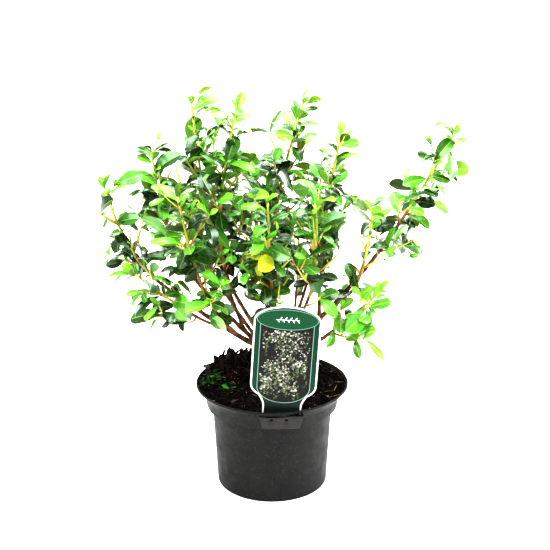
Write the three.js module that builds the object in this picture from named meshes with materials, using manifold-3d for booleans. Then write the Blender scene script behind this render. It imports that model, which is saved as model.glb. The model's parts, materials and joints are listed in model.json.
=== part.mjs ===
// A young evergreen shrub in its round nursery pot, with a plant label in the pot's holder.
// Units are millimetres. +Z is up, +X is to the right and +Y is to the back.
// The origin is the centre of the pot's flat underside.

import * as THREE from "three";
import { mergeVertices } from "three/addons/utils/BufferGeometryUtils.js";
import Module from "manifold-3d";

const wasm = await Module();
wasm.setup();

// Pot: one thin wall with a flared lip, a collar under it and a tapering body
const POT_HEIGHT = 118;
const POT_WALL = 1.8;
const POT_FLOOR = 2.4;
const BASE_RADIUS = 62;
const BODY_TOP_RADIUS = 67;
const COLLAR_RADIUS = 73.6;
const COLLAR_BOTTOM = 93;
const COLLAR_TOP = 104;
const LIP_RADIUS = 85;
const POT_SIDES = 32;
const DRAIN_HOLES = 6;
const DRAIN_RADIUS = 4;
const DRAIN_CIRCLE = 47;

// Label holder: a tapering pocket on the front of the collar, with a slot that the label's neck enters
const HOLDER_CENTRE = 9.5;
const HOLDER_TOP_WIDTH = 48;
const HOLDER_BOTTOM_WIDTH = 40;
const HOLDER_BOTTOM = 97;
const HOLDER_TOP = 112;
const HOLDER_FRONT = 80.4;
const SLOT_WIDTH = 44.6;
const SLOT_GAP = 1.4;
const SLOT_BOTTOM = 103;
const SLOT_DEPTH_FROM_AXIS = 75;

// Label: a flat plastic plate with an arched head and a narrow neck, a little tilted in its slot
const LABEL_WIDTH = 71;
const LABEL_TOP = 234;
const LABEL_ARCH = 17;
const LABEL_THICKNESS = 0.7;
const LABEL_SHOULDER = 146;
const LABEL_NECK_WIDTH = 42.4;
const LABEL_NECK_TOP = 121;
const LABEL_FOOT = 104.8;
const LABEL_FILLET = 5;
const LABEL_FILLET_RISE = 12;
const LABEL_SHOULDER_RISE = 8;
const LABEL_TILT = THREE.MathUtils.degToRad(3.6);

// Compost: fills the pot and is heaped a little above the lip
const SOIL_GAP = 0.5;
const SOIL_EDGE_HEIGHT = 116;
const SOIL_CROWN_HEIGHT = 117;
const SOIL_RINGS = 5;
const CLOD_HEIGHT = 1.5;
const HEAP_HEIGHT = 12;
const HEAP_EDGE_RISE = 1.5;
const HEAP_DIRECTION = THREE.MathUtils.degToRad(132);

// Growth: what holds for every shoot of this plant
const GOLDEN_ANGLE = THREE.MathUtils.degToRad(137.5);
const UP = new THREE.Vector3(0, 0, 1);
const JOINT_GAP = 0.3;
const SMALLEST_EDGE = 0.02;
const LIMB_SIDES = 5;
const LIMB_STEPS = 4;
const BOUGH_OUT = 0.52;
const BOUGH_RISE = 0.42;
const LEADER_STEPS = 4;
const TWIG_STEPS = 1;
const TWIG_SIDES = 3;
const LEADER_STIFFNESS = 0.35;
const LEADER_SWELL = 1.35;
const LEADER_TIP_RADIUS = 1.5;
const TWIG_BASE_RADIUS = 1.15;
const TWIG_TIP_RADIUS = 1;
const TWIG_LEAN = THREE.MathUtils.degToRad(52);
const TWIG_LIFT = 0.25;
const TWIGS_FROM = 0.04;
const TWIGS_TO = 0.8;
const TWIG_STAGGER = 0.6;
const TWIG_LENGTH_LOW = 1.15;
const TWIG_LENGTH_HIGH = 0.65;
const LEAF_LENGTH = 43;
const LEAF_WIDTH_SHARE = 0.54;
const LEAF_WIDEST_AT = 0.6;
const LEAF_THICKEST_AT = 0.15;
const LEAF_THICKNESS = 0.9;
const LEAF_SINK = 0.35;
const LEAF_FOLD = 0.1;
const LEAF_DROOP = 0.12;
const LEAF_AT_TIP = 0.85;
const LEAF_SPACING = 8;
const LEAF_CROWDING = 1.2;
const LEAF_ROOM = 15;
const SMALLER = [1, 0.78, 0.6];
const LEAF_LEAN_LOW = THREE.MathUtils.degToRad(68);
const LEAF_LEAN_TIP = THREE.MathUtils.degToRad(38);
const LEAF_SMALLEST = 0.8;
const LEAF_LARGEST = 1.15;
const LEAF_TWIST = 1;
const VARIATION = 0.15;
const SPACE_GAP = 0.5;
const LIMB_CLEARANCE = 1.2;
const LOWEST_LEAF = 170;

// The trunk stands in the compost and forks low down. Its foot flares.
const TRUNK = { foot: [5, 3, 116.5], top: [8, 0, 149], footRadius: 9.5, radius: 5.6 };

// Boughs: each leaves its parent at a share of the parent's length and ends at its tip
const BOUGHS = [
  { name: "far_left", parent: "trunk", at: 0.9, tip: [-122, -19, 242], radii: [3.3, 1.9] },
  { name: "far_right", parent: "trunk", at: 0.95, tip: [110, 8, 258], radii: [3.5, 1.9] },
  { name: "centre", parent: "trunk", at: 0.9, tip: [-40, -14, 226], radii: [3.1, 1.9] },
  { name: "upper_right", parent: "trunk", at: 0.9, tip: [0, 28, 236], radii: [3.1, 1.9] },
  { name: "left", parent: "trunk", at: 0.8, tip: [-84, 18, 230], radii: [2.9, 1.8] },
  { name: "low_right", parent: "trunk", at: 0.7, tip: [60, -28, 184], radii: [2.6, 1.7] },
  { name: "right", parent: "far_right", at: 0.42, tip: [52, -2, 238], radii: [2.3, 1.7] },
  { name: "centre_front", parent: "trunk", at: 0.75, tip: [2, -34, 206], radii: [2.6, 1.7] },
  { name: "back", parent: "trunk", at: 0.75, tip: [-12, 54, 224], radii: [2.8, 1.8] },
  { name: "back_right", parent: "trunk", at: 0.6, tip: [40, 50, 218], radii: [2.6, 1.7] },
  { name: "back_left", parent: "trunk", at: 0.6, tip: [-62, 58, 216], radii: [2.6, 1.7] },
  { name: "upper_left", parent: "left", at: 0.4, tip: [-58, 38, 244], radii: [2.1, 1.6] },
  { name: "left_front", parent: "far_left", at: 0.3, tip: [-58, -38, 212], radii: [2.1, 1.6] },
  { name: "low_left", parent: "far_left", at: 0.45, tip: [-76, -38, 206], radii: [1.9, 1.5] },
  { name: "right_front", parent: "centre_front", at: 0.45, tip: [32, -38, 214], radii: [1.9, 1.5] },
  { name: "right_side", parent: "far_right", at: 0.6, tip: [84, -18, 228], radii: [1.8, 1.5] },
  { name: "low_back", parent: "back_right", at: 0.5, tip: [28, 72, 196], radii: [1.9, 1.5] },
];

// Masses of foliage: each grows on from the tip of the bough with its name, up to its own tip
const MASSES = [
  { name: "far_left", tip: [-172, -30, 344], reach: 35, twigs: 6, seed: 11 },
  { name: "left", tip: [-129, 22, 378], reach: 40, twigs: 7, seed: 32 },
  { name: "upper_left", tip: [-86, 44, 420], reach: 42, twigs: 7, seed: 13 },
  { name: "centre", tip: [-36, -20, 424], reach: 44, twigs: 8, seed: 14 },
  { name: "upper_right", tip: [33, 38, 421], reach: 44, twigs: 8, seed: 15 },
  { name: "right", tip: [71, -4, 394], reach: 28, twigs: 6, seed: 16 },
  { name: "far_right", tip: [190, 0, 396], reach: 33, twigs: 6, seed: 17 },
  { name: "right_side", tip: [104, -34, 318], reach: 31, twigs: 5, seed: 18 },
  { name: "low_right", tip: [112, -56, 242], reach: 38, twigs: 6, seed: 19 },
  { name: "low_left", tip: [-140, -60, 262], reach: 38, twigs: 6, seed: 20 },
  { name: "left_front", tip: [-94, -64, 345], reach: 42, twigs: 7, seed: 21 },
  { name: "centre_front", tip: [-4, -68, 340], reach: 42, twigs: 6, seed: 22 },
  { name: "right_front", tip: [44, -62, 338], reach: 40, twigs: 6, seed: 23 },
  { name: "back_left", tip: [-110, 92, 345], reach: 42, twigs: 6, seed: 24 },
  { name: "back", tip: [-18, 96, 354], reach: 44, twigs: 7, seed: 25 },
  { name: "back_right", tip: [56, 92, 356], reach: 42, twigs: 6, seed: 26 },
  { name: "low_back", tip: [32, 124, 258], reach: 40, twigs: 5, seed: 27 },
];

// Solids: closed geometry goes in and out of the boolean library

function solidOf(geometry) {
  const bare = geometry.clone();
  bare.deleteAttribute("normal");
  bare.deleteAttribute("uv");
  const merged = mergeVertices(bare, 1e-4);
  return new wasm.Manifold(
    new wasm.Mesh({
      numProp: 3,
      vertProperties: merged.attributes.position.array,
      triVerts: new Uint32Array(merged.index.array),
    }),
  );
}

function geometryOf(solid) {
  const mesh = solid.getMesh();
  const geometry = new THREE.BufferGeometry();
  geometry.setAttribute("position", new THREE.BufferAttribute(mesh.vertProperties, 3));
  geometry.setIndex(new THREE.BufferAttribute(mesh.triVerts, 1));
  geometry.computeVertexNormals();
  return geometry;
}

function joined(solids) {
  return solids.reduce((whole, next) => whole.add(next));
}

// A cut can leave a scrap: the piece is the largest body
function largestBody(solid) {
  const bodies = solid.simplify(SMALLEST_EDGE).decompose();
  return bodies.reduce((a, b) => (a.volume() > b.volume() ? a : b)).simplify(SMALLEST_EDGE);
}

function nodeOf(name, solid, material) {
  const mesh = new THREE.Mesh(geometryOf(solid), material);
  mesh.name = name;
  return mesh;
}

// A lathe profile is given as [radius, height] pairs and turns about +Z
function turned(profile, sides) {
  const points = profile.map(([radius, height]) => new THREE.Vector2(radius, height));
  return new THREE.LatheGeometry(points, sides).rotateX(Math.PI / 2);
}

function box(width, depth, height, x, y, z) {
  return solidOf(new THREE.BoxGeometry(width, depth, height).translate(x, y, z));
}

// Pot

function potSolid() {
  const floorRadius = BASE_RADIUS - POT_WALL;
  const shell = solidOf(
    turned(
      [
        [0, 0],
        [BASE_RADIUS - 1, 0],
        [BASE_RADIUS, 1],
        [BODY_TOP_RADIUS, COLLAR_BOTTOM],
        [COLLAR_RADIUS - 0.6, COLLAR_BOTTOM],
        [COLLAR_RADIUS, COLLAR_BOTTOM + 0.8],
        [COLLAR_RADIUS + 0.6, COLLAR_TOP],
        [LIP_RADIUS - 1.2, POT_HEIGHT - 2.2],
        [LIP_RADIUS, POT_HEIGHT - 1.4],
        [LIP_RADIUS - 0.2, POT_HEIGHT],
        [LIP_RADIUS - 1.6, POT_HEIGHT],
        [COLLAR_RADIUS + 0.6 - POT_WALL, COLLAR_TOP + 1],
        [COLLAR_RADIUS - POT_WALL, COLLAR_BOTTOM + POT_WALL],
        [BODY_TOP_RADIUS - POT_WALL, COLLAR_BOTTOM + POT_WALL],
        [floorRadius, POT_FLOOR],
        [0, POT_FLOOR],
      ],
      POT_SIDES,
    ),
  );
  const drains = Array.from({ length: DRAIN_HOLES }, (_, k) => {
    const angle = (k / DRAIN_HOLES) * 2 * Math.PI;
    const drill = new THREE.CylinderGeometry(DRAIN_RADIUS, DRAIN_RADIUS, 4 * POT_FLOOR, 6);
    drill.rotateX(Math.PI / 2);
    return solidOf(
      drill.translate(DRAIN_CIRCLE * Math.cos(angle), DRAIN_CIRCLE * Math.sin(angle), 0),
    );
  });
  const slotTop = POT_HEIGHT + 5;
  const slot = box(
    SLOT_WIDTH,
    SLOT_GAP,
    slotTop - SLOT_BOTTOM,
    HOLDER_CENTRE,
    -SLOT_DEPTH_FROM_AXIS,
    (slotTop + SLOT_BOTTOM) / 2,
  );
  return largestBody(shell.add(holderSolid()).subtract(slot).subtract(joined(drains)));
}

// The pocket's front is a trapezium that narrows downwards, and its back is sunk into the collar
function holderSolid() {
  const outline = new THREE.Shape();
  outline.moveTo(-HOLDER_BOTTOM_WIDTH / 2, HOLDER_BOTTOM);
  outline.lineTo(HOLDER_BOTTOM_WIDTH / 2, HOLDER_BOTTOM);
  outline.lineTo(HOLDER_TOP_WIDTH / 2, HOLDER_TOP);
  outline.lineTo(-HOLDER_TOP_WIDTH / 2, HOLDER_TOP);
  outline.closePath();
  const back = COLLAR_RADIUS - 4;
  const depth = HOLDER_FRONT - back;
  const block = new THREE.ExtrudeGeometry(outline, { depth, bevelEnabled: false });
  block.rotateX(Math.PI / 2).translate(HOLDER_CENTRE, -back, 0);
  const inside = solidOf(
    turned(
      [
        [0, 0],
        [COLLAR_RADIUS - POT_WALL / 2, 0],
        [COLLAR_RADIUS - POT_WALL / 2, COLLAR_TOP + 1],
        [LIP_RADIUS - POT_WALL, POT_HEIGHT],
        [0, POT_HEIGHT],
      ],
      POT_SIDES,
    ),
  );
  return solidOf(block).subtract(inside);
}

// Compost: a plug that follows the pot's inside, with a rough top that is heaped up at one side

function heapAt(angle) {
  return Math.max(0, Math.cos(angle - HEAP_DIRECTION)) ** 1.5;
}

function flareRadius(height) {
  const share = (height - COLLAR_TOP - 1) / (POT_HEIGHT - COLLAR_TOP - 1);
  return THREE.MathUtils.lerp(COLLAR_RADIUS + 0.6 - POT_WALL, LIP_RADIUS - 1.6, share);
}

// Where the compost's top lies: share runs from 0 at its middle to 1 at its edge
function soilTop(share, angle) {
  const edgeHeight = SOIL_EDGE_HEIGHT + HEAP_EDGE_RISE * heapAt(angle);
  const radius = share * (flareRadius(edgeHeight) - SOIL_GAP);
  const dome = THREE.MathUtils.lerp(SOIL_CROWN_HEIGHT, edgeHeight, share ** 2);
  const clods = Math.sin(3 * angle + 9 * share) * Math.sin(2 * angle + 7 * share);
  const rough = HEAP_HEIGHT * heapAt(angle) + CLOD_HEIGHT * clods;
  return { radius, height: dome + rough * share * (1 - share ** 8) };
}

function soilSolid() {
  const bottom = POT_FLOOR + SOIL_GAP;
  const bodyTop = COLLAR_BOTTOM + POT_WALL + SOIL_GAP;
  const inner = POT_WALL + SOIL_GAP;
  const profile = [
    [0, bottom],
    [BASE_RADIUS - inner, bottom],
    [BODY_TOP_RADIUS - inner, bodyTop],
    [COLLAR_RADIUS - inner, bodyTop],
    [COLLAR_RADIUS - inner, COLLAR_TOP],
  ];
  for (let ring = SOIL_RINGS; ring >= 0; ring -= 1) {
    profile.push([ring / SOIL_RINGS, POT_HEIGHT]);
  }
  const geometry = turned(profile, POT_SIDES);
  const position = geometry.attributes.position;
  for (let i = 0; i < position.count; i += 1) {
    if (position.getZ(i) < POT_HEIGHT - 0.01) continue;
    const angle = Math.atan2(position.getY(i), position.getX(i));
    const top = soilTop(Math.hypot(position.getX(i), position.getY(i)), angle);
    position.setXYZ(i, top.radius * Math.cos(angle), top.radius * Math.sin(angle), top.height);
  }
  const neckRoom = box(SLOT_WIDTH, 3, 60, HOLDER_CENTRE, -SLOT_DEPTH_FROM_AXIS, POT_HEIGHT);
  const [x, y, z] = TRUNK.foot;
  const width = 2 * TRUNK.footRadius + 2;
  const trunkSeat = box(width, width, 40, x, y, z - JOINT_GAP + 20);
  return largestBody(solidOf(geometry).subtract(neckRoom).subtract(trunkSeat));
}

// Label: the outline is drawn upright, with the neck's foot at its origin

function labelOutline() {
  const half = LABEL_WIDTH / 2;
  const neck = LABEL_NECK_WIDTH / 2;
  const head = LABEL_TOP - LABEL_ARCH - LABEL_FOOT;
  const neckTop = LABEL_NECK_TOP - LABEL_FOOT;
  const bend = [neck + LABEL_FILLET, neckTop + LABEL_FILLET_RISE];
  const shoulder = LABEL_SHOULDER - LABEL_FOOT;
  const below = shoulder - LABEL_SHOULDER_RISE;
  const outline = new THREE.Shape();
  outline.moveTo(-neck, 0);
  outline.lineTo(neck, 0);
  outline.lineTo(neck, neckTop);
  outline.quadraticCurveTo(neck, neckTop + LABEL_FILLET, bend[0], bend[1]);
  outline.quadraticCurveTo(half, below, half, shoulder);
  outline.lineTo(half, head);
  outline.absellipse(0, head, half, LABEL_ARCH, 0, Math.PI, false);
  outline.lineTo(-half, shoulder);
  outline.quadraticCurveTo(-half, below, -bend[0], bend[1]);
  outline.quadraticCurveTo(-neck, neckTop + LABEL_FILLET, -neck, neckTop);
  outline.closePath();
  return outline;
}

function labelSolid() {
  const plate = new THREE.ExtrudeGeometry(labelOutline(), {
    depth: LABEL_THICKNESS,
    bevelEnabled: false,
    curveSegments: 4,
  });
  plate.rotateX(Math.PI / 2);
  return solidOf(plate.translate(0, LABEL_THICKNESS / 2, 0));
}

// Growth

// A small seeded generator, so that every build grows the same plant
function randomFrom(seed) {
  let state = (seed * 2654435761) >>> 0;
  return () => {
    state = (Math.imul(state, 1664525) + 1013904223) >>> 0;
    return state / 4294967296;
  };
}

// A factor near one
function varied(next) {
  return 1 - VARIATION + 2 * VARIATION * next();
}

function vector(values) {
  return new THREE.Vector3(...values);
}

// A direction that leans away from an axis by an angle, at a turn about it
function leaning(axis, turn, lean) {
  const side = new THREE.Vector3(1, 0, 0).cross(axis);
  if (side.length() < 0.2) side.set(0, 1, 0).cross(axis);
  side.normalize().applyAxisAngle(axis, turn);
  return axis.clone().multiplyScalar(Math.cos(lean)).addScaledVector(side, Math.sin(lean));
}

// A bough runs out from its parent before it turns up
function boughCurve(start, tip) {
  const span = tip.clone().sub(start);
  const middle = new THREE.Vector3(span.x * BOUGH_OUT, span.y * BOUGH_OUT, span.z * BOUGH_RISE);
  return new THREE.QuadraticBezierCurve3(start, middle.add(start), tip);
}

// A leader goes on in its bough's direction and then turns to its own tip
function leaderCurve(bough, tip) {
  const direction = bough.curve.getTangent(1);
  const start = bough.curve.getPoint(1).addScaledVector(direction, JOINT_GAP);
  const ahead = direction.clone().multiplyScalar(LEADER_STIFFNESS * start.distanceTo(tip));
  return new THREE.QuadraticBezierCurve3(start, ahead.add(start), tip);
}

// A tapering rod: a cylinder whose height is laid along the curve
function rodAlong(curve, baseRadius, tipRadius, sides, steps) {
  const rod = new THREE.CylinderGeometry(tipRadius, baseRadius, 1, sides, steps);
  const position = rod.attributes.position;
  for (let i = 0; i < position.count; i += 1) {
    const along = position.getY(i) + 0.5;
    const centre = curve.getPoint(along);
    const tangent = curve.getTangent(along);
    const across = new THREE.Vector3(0.31, 0.95, 0.05).cross(tangent).normalize();
    const third = tangent.clone().cross(across);
    centre.addScaledVector(third, position.getX(i)).addScaledVector(across, position.getZ(i));
    position.setXYZ(i, centre.x, centre.y, centre.z);
  }
  return solidOf(rod);
}

// The rod's own middle line, which is straight between its steps
function middleOfRod(curve, steps, along) {
  const step = Math.min(Math.floor(along * steps), steps - 1);
  const start = curve.getPoint(step / steps);
  return start.lerp(curve.getPoint((step + 1) / steps), along * steps - step);
}

// A leaf: a folded kite with a raised middle. Its corners are base, right, tip, left and middle.
function leafSolid(leaf) {
  const corners = [
    leafPoint(leaf, -1, 0, 0),
    leafPoint(leaf, 0, -1, 0),
    leafPoint(leaf, 1, 0, 0),
    leafPoint(leaf, 0, 1, 0),
    leafPoint(leaf, 0, 0, 1),
  ];
  const geometry = new THREE.BufferGeometry().setFromPoints(corners);
  geometry.setIndex([0, 1, 4, 1, 2, 4, 2, 3, 4, 3, 0, 4, 0, 2, 1, 0, 3, 2]);
  return solidOf(geometry);
}

// Where a point of a leaf lies: along runs from -1 at its base to 1 at its tip, across from side to side
function leafPoint(leaf, along, across, through) {
  const { root, direction, side, normal, length } = leaf;
  const middle = across === 0 ? LEAF_THICKEST_AT : LEAF_WIDEST_AT;
  const ahead = along < 0 ? 0 : along > 0 ? 1 : middle;
  const rise = Math.abs(across) * LEAF_FOLD - Math.max(ahead - LEAF_THICKEST_AT, 0) * LEAF_DROOP;
  return root
    .clone()
    .addScaledVector(direction, ahead * length)
    .addScaledVector(side, across * 0.5 * LEAF_WIDTH_SHARE * length)
    .addScaledVector(normal, rise * length + through * LEAF_THICKNESS);
}

// Points on a leaf's blade that are tested against other limbs and spaces
function leafTests(leaf) {
  const base = leafPoint(leaf, -1, 0, 0);
  const left = leafPoint(leaf, 0, 1, 0);
  const right = leafPoint(leaf, 0, -1, 0);
  const tip = leafPoint(leaf, 1, 0, 0);
  const halfway = (a, b) => a.clone().lerp(b, 0.5);
  return [
    halfway(base, tip),
    halfway(base, left),
    halfway(base, right),
    halfway(tip, left),
    halfway(tip, right),
    left,
    right,
    tip,
  ];
}

function distanceToPath(point, path) {
  const closest = new THREE.Vector3();
  const line = new THREE.Line3();
  return path.slice(1).reduce((least, end, k) => {
    line.set(path[k], end).closestPointToPoint(point, true, closest);
    return Math.min(least, closest.distanceTo(point));
  }, Infinity);
}

// A mass keeps to the points that lie nearer to its own leader than to any other
function inOwnSpace(point, mass, masses) {
  const own = distanceToPath(point, mass.path) + 2 * SPACE_GAP;
  return masses.every((other) => other === mass || distanceToPath(point, other.path) > own);
}

function clearOfLimbs(point, limbs) {
  return limbs.every(
    (limb) => distanceToPath(point, limb.path) > limb.radii[0] + LIMB_CLEARANCE,
  );
}

function clearOfLabel(point) {
  const beside = Math.abs(point.x - HOLDER_CENTRE - 4) > LABEL_WIDTH / 2 + 8;
  const behind = point.y > 3 - SLOT_DEPTH_FROM_AXIS;
  return beside || behind || point.z > LABEL_TOP + 3;
}

function allowed(points, mass, masses, limbs) {
  return points.every(
    (point) =>
      point.z > LOWEST_LEAF &&
      clearOfLabel(point) &&
      clearOfLimbs(point, limbs) &&
      inOwnSpace(point, mass, masses),
  );
}

// Side twigs turn about the leader by the golden angle and get shorter towards its tip
function twigsOf(mass, masses, limbs, next) {
  const twigs = [];
  for (let k = 0; k < mass.twigs; k += 1) {
    const share = (k + TWIG_STAGGER * next()) / mass.twigs;
    const along = THREE.MathUtils.lerp(TWIGS_FROM, TWIGS_TO, share);
    const start = middleOfRod(mass.leader, LEADER_STEPS, along);
    const direction = leaning(mass.leader.getTangent(along), k * GOLDEN_ANGLE + next(), TWIG_LEAN);
    const taper = THREE.MathUtils.lerp(TWIG_LENGTH_LOW, TWIG_LENGTH_HIGH, along);
    const length = mass.reach * taper * varied(next);
    const fits = SMALLER.map((size) => twigCurve(start, direction, size * length)).find((curve) =>
      allowed([0.35, 0.55, 0.75, 1].map((share) => curve.getPoint(share)), mass, masses, limbs),
    );
    if (fits) twigs.push({ curve: fits, radii: [TWIG_BASE_RADIUS, TWIG_TIP_RADIUS], steps: TWIG_STEPS });
  }
  return twigs;
}

// A twig sets out straight and then lifts its tip
function twigCurve(start, direction, length) {
  const tip = start.clone().addScaledVector(direction, length);
  const middle = start.clone().lerp(tip, 0.5);
  return new THREE.QuadraticBezierCurve3(start, middle, tip.addScaledVector(UP, TWIG_LIFT * length));
}

// A leaf has room where its middle is not close to another leaf's middle
function hasRoom(leaf, others) {
  const middle = leafMiddle(leaf);
  return others.every((other) => middle.distanceTo(leafMiddle(other)) > LEAF_ROOM);
}

function leafMiddle(leaf) {
  return leaf.root.clone().addScaledVector(leaf.direction, 0.5 * leaf.length);
}

// Leaves turn about their stem by the golden angle, lean out low down and stand up at the tip
function leavesOf(stem, others, mass, masses, limbs, next) {
  const count = Math.round(stem.curve.getLength() / LEAF_SPACING);
  const firstTurn = 2 * Math.PI * next();
  for (let k = 0; k < count; k += 1) {
    const along = 1 - (1 - (k + 0.5) / count) ** LEAF_CROWDING;
    const axis = stem.curve.getTangent(along);
    const lean = THREE.MathUtils.lerp(LEAF_LEAN_LOW, LEAF_LEAN_TIP, along) * varied(next);
    const direction = leaning(axis, firstTurn + k * GOLDEN_ANGLE, lean);
    const taper = THREE.MathUtils.lerp(1, LEAF_AT_TIP, along);
    const length = LEAF_LENGTH * taper * THREE.MathUtils.lerp(LEAF_SMALLEST, LEAF_LARGEST, next());
    const side = direction.clone().cross(axis).normalize();
    side.applyAxisAngle(direction, LEAF_TWIST * (next() - 0.5));
    if (side.x * direction.y > side.y * direction.x) side.negate();
    const normal = direction.clone().cross(side);
    const root = middleOfRod(stem.curve, stem.steps, along).addScaledVector(direction, -LEAF_SINK);
    const fits = SMALLER.map((size) => ({ root, direction, side, normal, length: size * length }))
      .find((leaf) => hasRoom(leaf, others) && allowed(leafTests(leaf), mass, masses, limbs));
    if (fits) others.push(fits);
  }
}

function grownMass(mass, masses, limbs) {
  const next = randomFrom(mass.seed);
  const radii = [LEADER_SWELL * mass.bough.radii[1], LEADER_TIP_RADIUS];
  const leader = { curve: mass.leader, radii, steps: LEADER_STEPS };
  const twigs = twigsOf(mass, masses, limbs, next);
  const leaves = [];
  const stems = [leader, ...twigs];
  stems.forEach((stem) => leavesOf(stem, leaves, mass, masses, limbs, next));
  const rods = stems.map((stem) => rodAlong(stem.curve, ...stem.radii, TWIG_SIDES, stem.steps));
  return largestBody(joined([...rods, ...leaves.map(leafSolid)]));
}

// Limbs: the trunk first, and then each bough, cut clear of the limbs before it

function trunkLimb() {
  const foot = vector(TRUNK.foot);
  const top = vector(TRUNK.top);
  const curve = new THREE.LineCurve3(foot, top);
  return { name: "trunk", curve, radii: [TRUNK.radius, TRUNK.radius], path: [foot, top] };
}

// The foot flares, and its flat cut lies level on the compost
function trunkSolid(extra) {
  const foot = vector(TRUNK.foot);
  const top = vector(TRUNK.top);
  const height = top.z - foot.z;
  const trunk = new THREE.CylinderGeometry(1, 1, 1, 10, 4);
  trunk.rotateX(Math.PI / 2);
  const position = trunk.attributes.position;
  for (let i = 0; i < position.count; i += 1) {
    const along = position.getZ(i) + 0.5;
    const flare = (TRUNK.footRadius - TRUNK.radius) * (1 - along) ** 3;
    const radius = TRUNK.radius + flare + extra;
    const centre = foot.clone().lerp(top, along);
    const stretch = along > 0.99 ? extra : 0;
    position.setXYZ(
      i,
      centre.x + position.getX(i) * radius,
      centre.y + position.getY(i) * radius,
      foot.z + along * height + stretch,
    );
  }
  return solidOf(trunk);
}

function boughLimb(bough, limbs) {
  const parent = limbs.find((limb) => limb.name === bough.parent);
  const start = parent.curve.getPoint(bough.at);
  const curve = boughCurve(start, vector(bough.tip));
  return { ...bough, curve, path: curve.getPoints(LIMB_STEPS) };
}

function boughSolid(limb, extra) {
  const [base, tip] = limb.radii;
  return rodAlong(limb.curve, base + extra, tip + extra, LIMB_SIDES, LIMB_STEPS);
}

// Materials

function finish(color, roughness) {
  return new THREE.MeshStandardMaterial({ color, roughness, metalness: 0 });
}

const POT_PLASTIC = finish(0x2b2b2c, 0.5);
const COMPOST = finish(0x2a211a, 0.95);
const LABEL_PLASTIC = finish(0x3c7a5c, 0.35);
const BARK = finish(0x8a5a3a, 0.8);
const FOLIAGE = finish(0x2f7a2c, 0.3);

// Assembly

const plant = new THREE.Group();
plant.add(nodeOf("pot", potSolid(), POT_PLASTIC));
plant.add(nodeOf("soil", soilSolid(), COMPOST));

const label = nodeOf("label", labelSolid(), LABEL_PLASTIC);
label.position.set(HOLDER_CENTRE, -SLOT_DEPTH_FROM_AXIS, LABEL_FOOT);
label.rotation.y = LABEL_TILT;
plant.add(label);

const limbs = [trunkLimb()];
BOUGHS.forEach((bough) => limbs.push(boughLimb(bough, limbs)));

const fattened = [trunkSolid(JOINT_GAP)];
plant.add(nodeOf("trunk", trunkSolid(0), BARK));
limbs.slice(1).forEach((limb) => {
  const cut = fattened.reduce((rest, other) => rest.subtract(other), boughSolid(limb, 0));
  plant.add(nodeOf(`bough_${limb.name}`, largestBody(cut), BARK));
  fattened.push(boughSolid(limb, JOINT_GAP));
});

const masses = MASSES.map((mass) => {
  const bough = limbs.find((limb) => limb.name === mass.name);
  const leader = leaderCurve(bough, vector(mass.tip));
  return { ...mass, bough, leader, path: leader.getPoints(LEADER_STEPS) };
});
masses.forEach((mass) => {
  plant.add(nodeOf(`foliage_${mass.name}`, grownMass(mass, masses, limbs), FOLIAGE));
});

export default plant;
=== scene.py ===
import json
import math

import bpy
import numpy as np
from mathutils import Euler, Matrix, Vector, noise

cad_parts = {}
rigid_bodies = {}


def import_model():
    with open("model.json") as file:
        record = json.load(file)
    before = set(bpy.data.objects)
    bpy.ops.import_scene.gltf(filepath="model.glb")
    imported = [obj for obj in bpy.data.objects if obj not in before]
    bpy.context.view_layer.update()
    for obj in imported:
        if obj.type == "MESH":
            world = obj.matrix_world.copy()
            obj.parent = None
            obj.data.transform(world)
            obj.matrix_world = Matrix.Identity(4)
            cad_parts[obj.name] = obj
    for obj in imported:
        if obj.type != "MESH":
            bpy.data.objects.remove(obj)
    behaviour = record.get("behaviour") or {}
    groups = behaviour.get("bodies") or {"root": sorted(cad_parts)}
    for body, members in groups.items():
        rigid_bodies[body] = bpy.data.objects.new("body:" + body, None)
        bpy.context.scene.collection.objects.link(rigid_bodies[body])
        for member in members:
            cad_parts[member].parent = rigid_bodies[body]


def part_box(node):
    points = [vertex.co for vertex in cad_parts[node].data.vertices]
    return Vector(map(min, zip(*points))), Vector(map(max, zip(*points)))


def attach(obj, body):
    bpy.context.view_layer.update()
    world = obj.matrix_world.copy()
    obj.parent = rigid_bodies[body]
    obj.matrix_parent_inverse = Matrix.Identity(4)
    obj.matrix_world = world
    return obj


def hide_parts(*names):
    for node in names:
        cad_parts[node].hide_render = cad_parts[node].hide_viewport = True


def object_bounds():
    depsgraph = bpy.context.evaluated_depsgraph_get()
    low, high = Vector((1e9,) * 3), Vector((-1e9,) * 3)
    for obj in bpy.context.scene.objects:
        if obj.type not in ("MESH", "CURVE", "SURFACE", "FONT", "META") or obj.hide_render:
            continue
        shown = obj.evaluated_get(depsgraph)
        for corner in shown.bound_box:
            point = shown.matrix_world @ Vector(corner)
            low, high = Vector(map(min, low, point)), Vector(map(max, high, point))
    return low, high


# The plant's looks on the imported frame. Lengths are millimetres until a mesh is made.

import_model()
cad_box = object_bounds()

MM = 0.001
TURN = 2 * math.pi
GOLDEN = math.radians(137.5)
UP = np.array([0.0, 0.0, 1.0])

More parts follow.
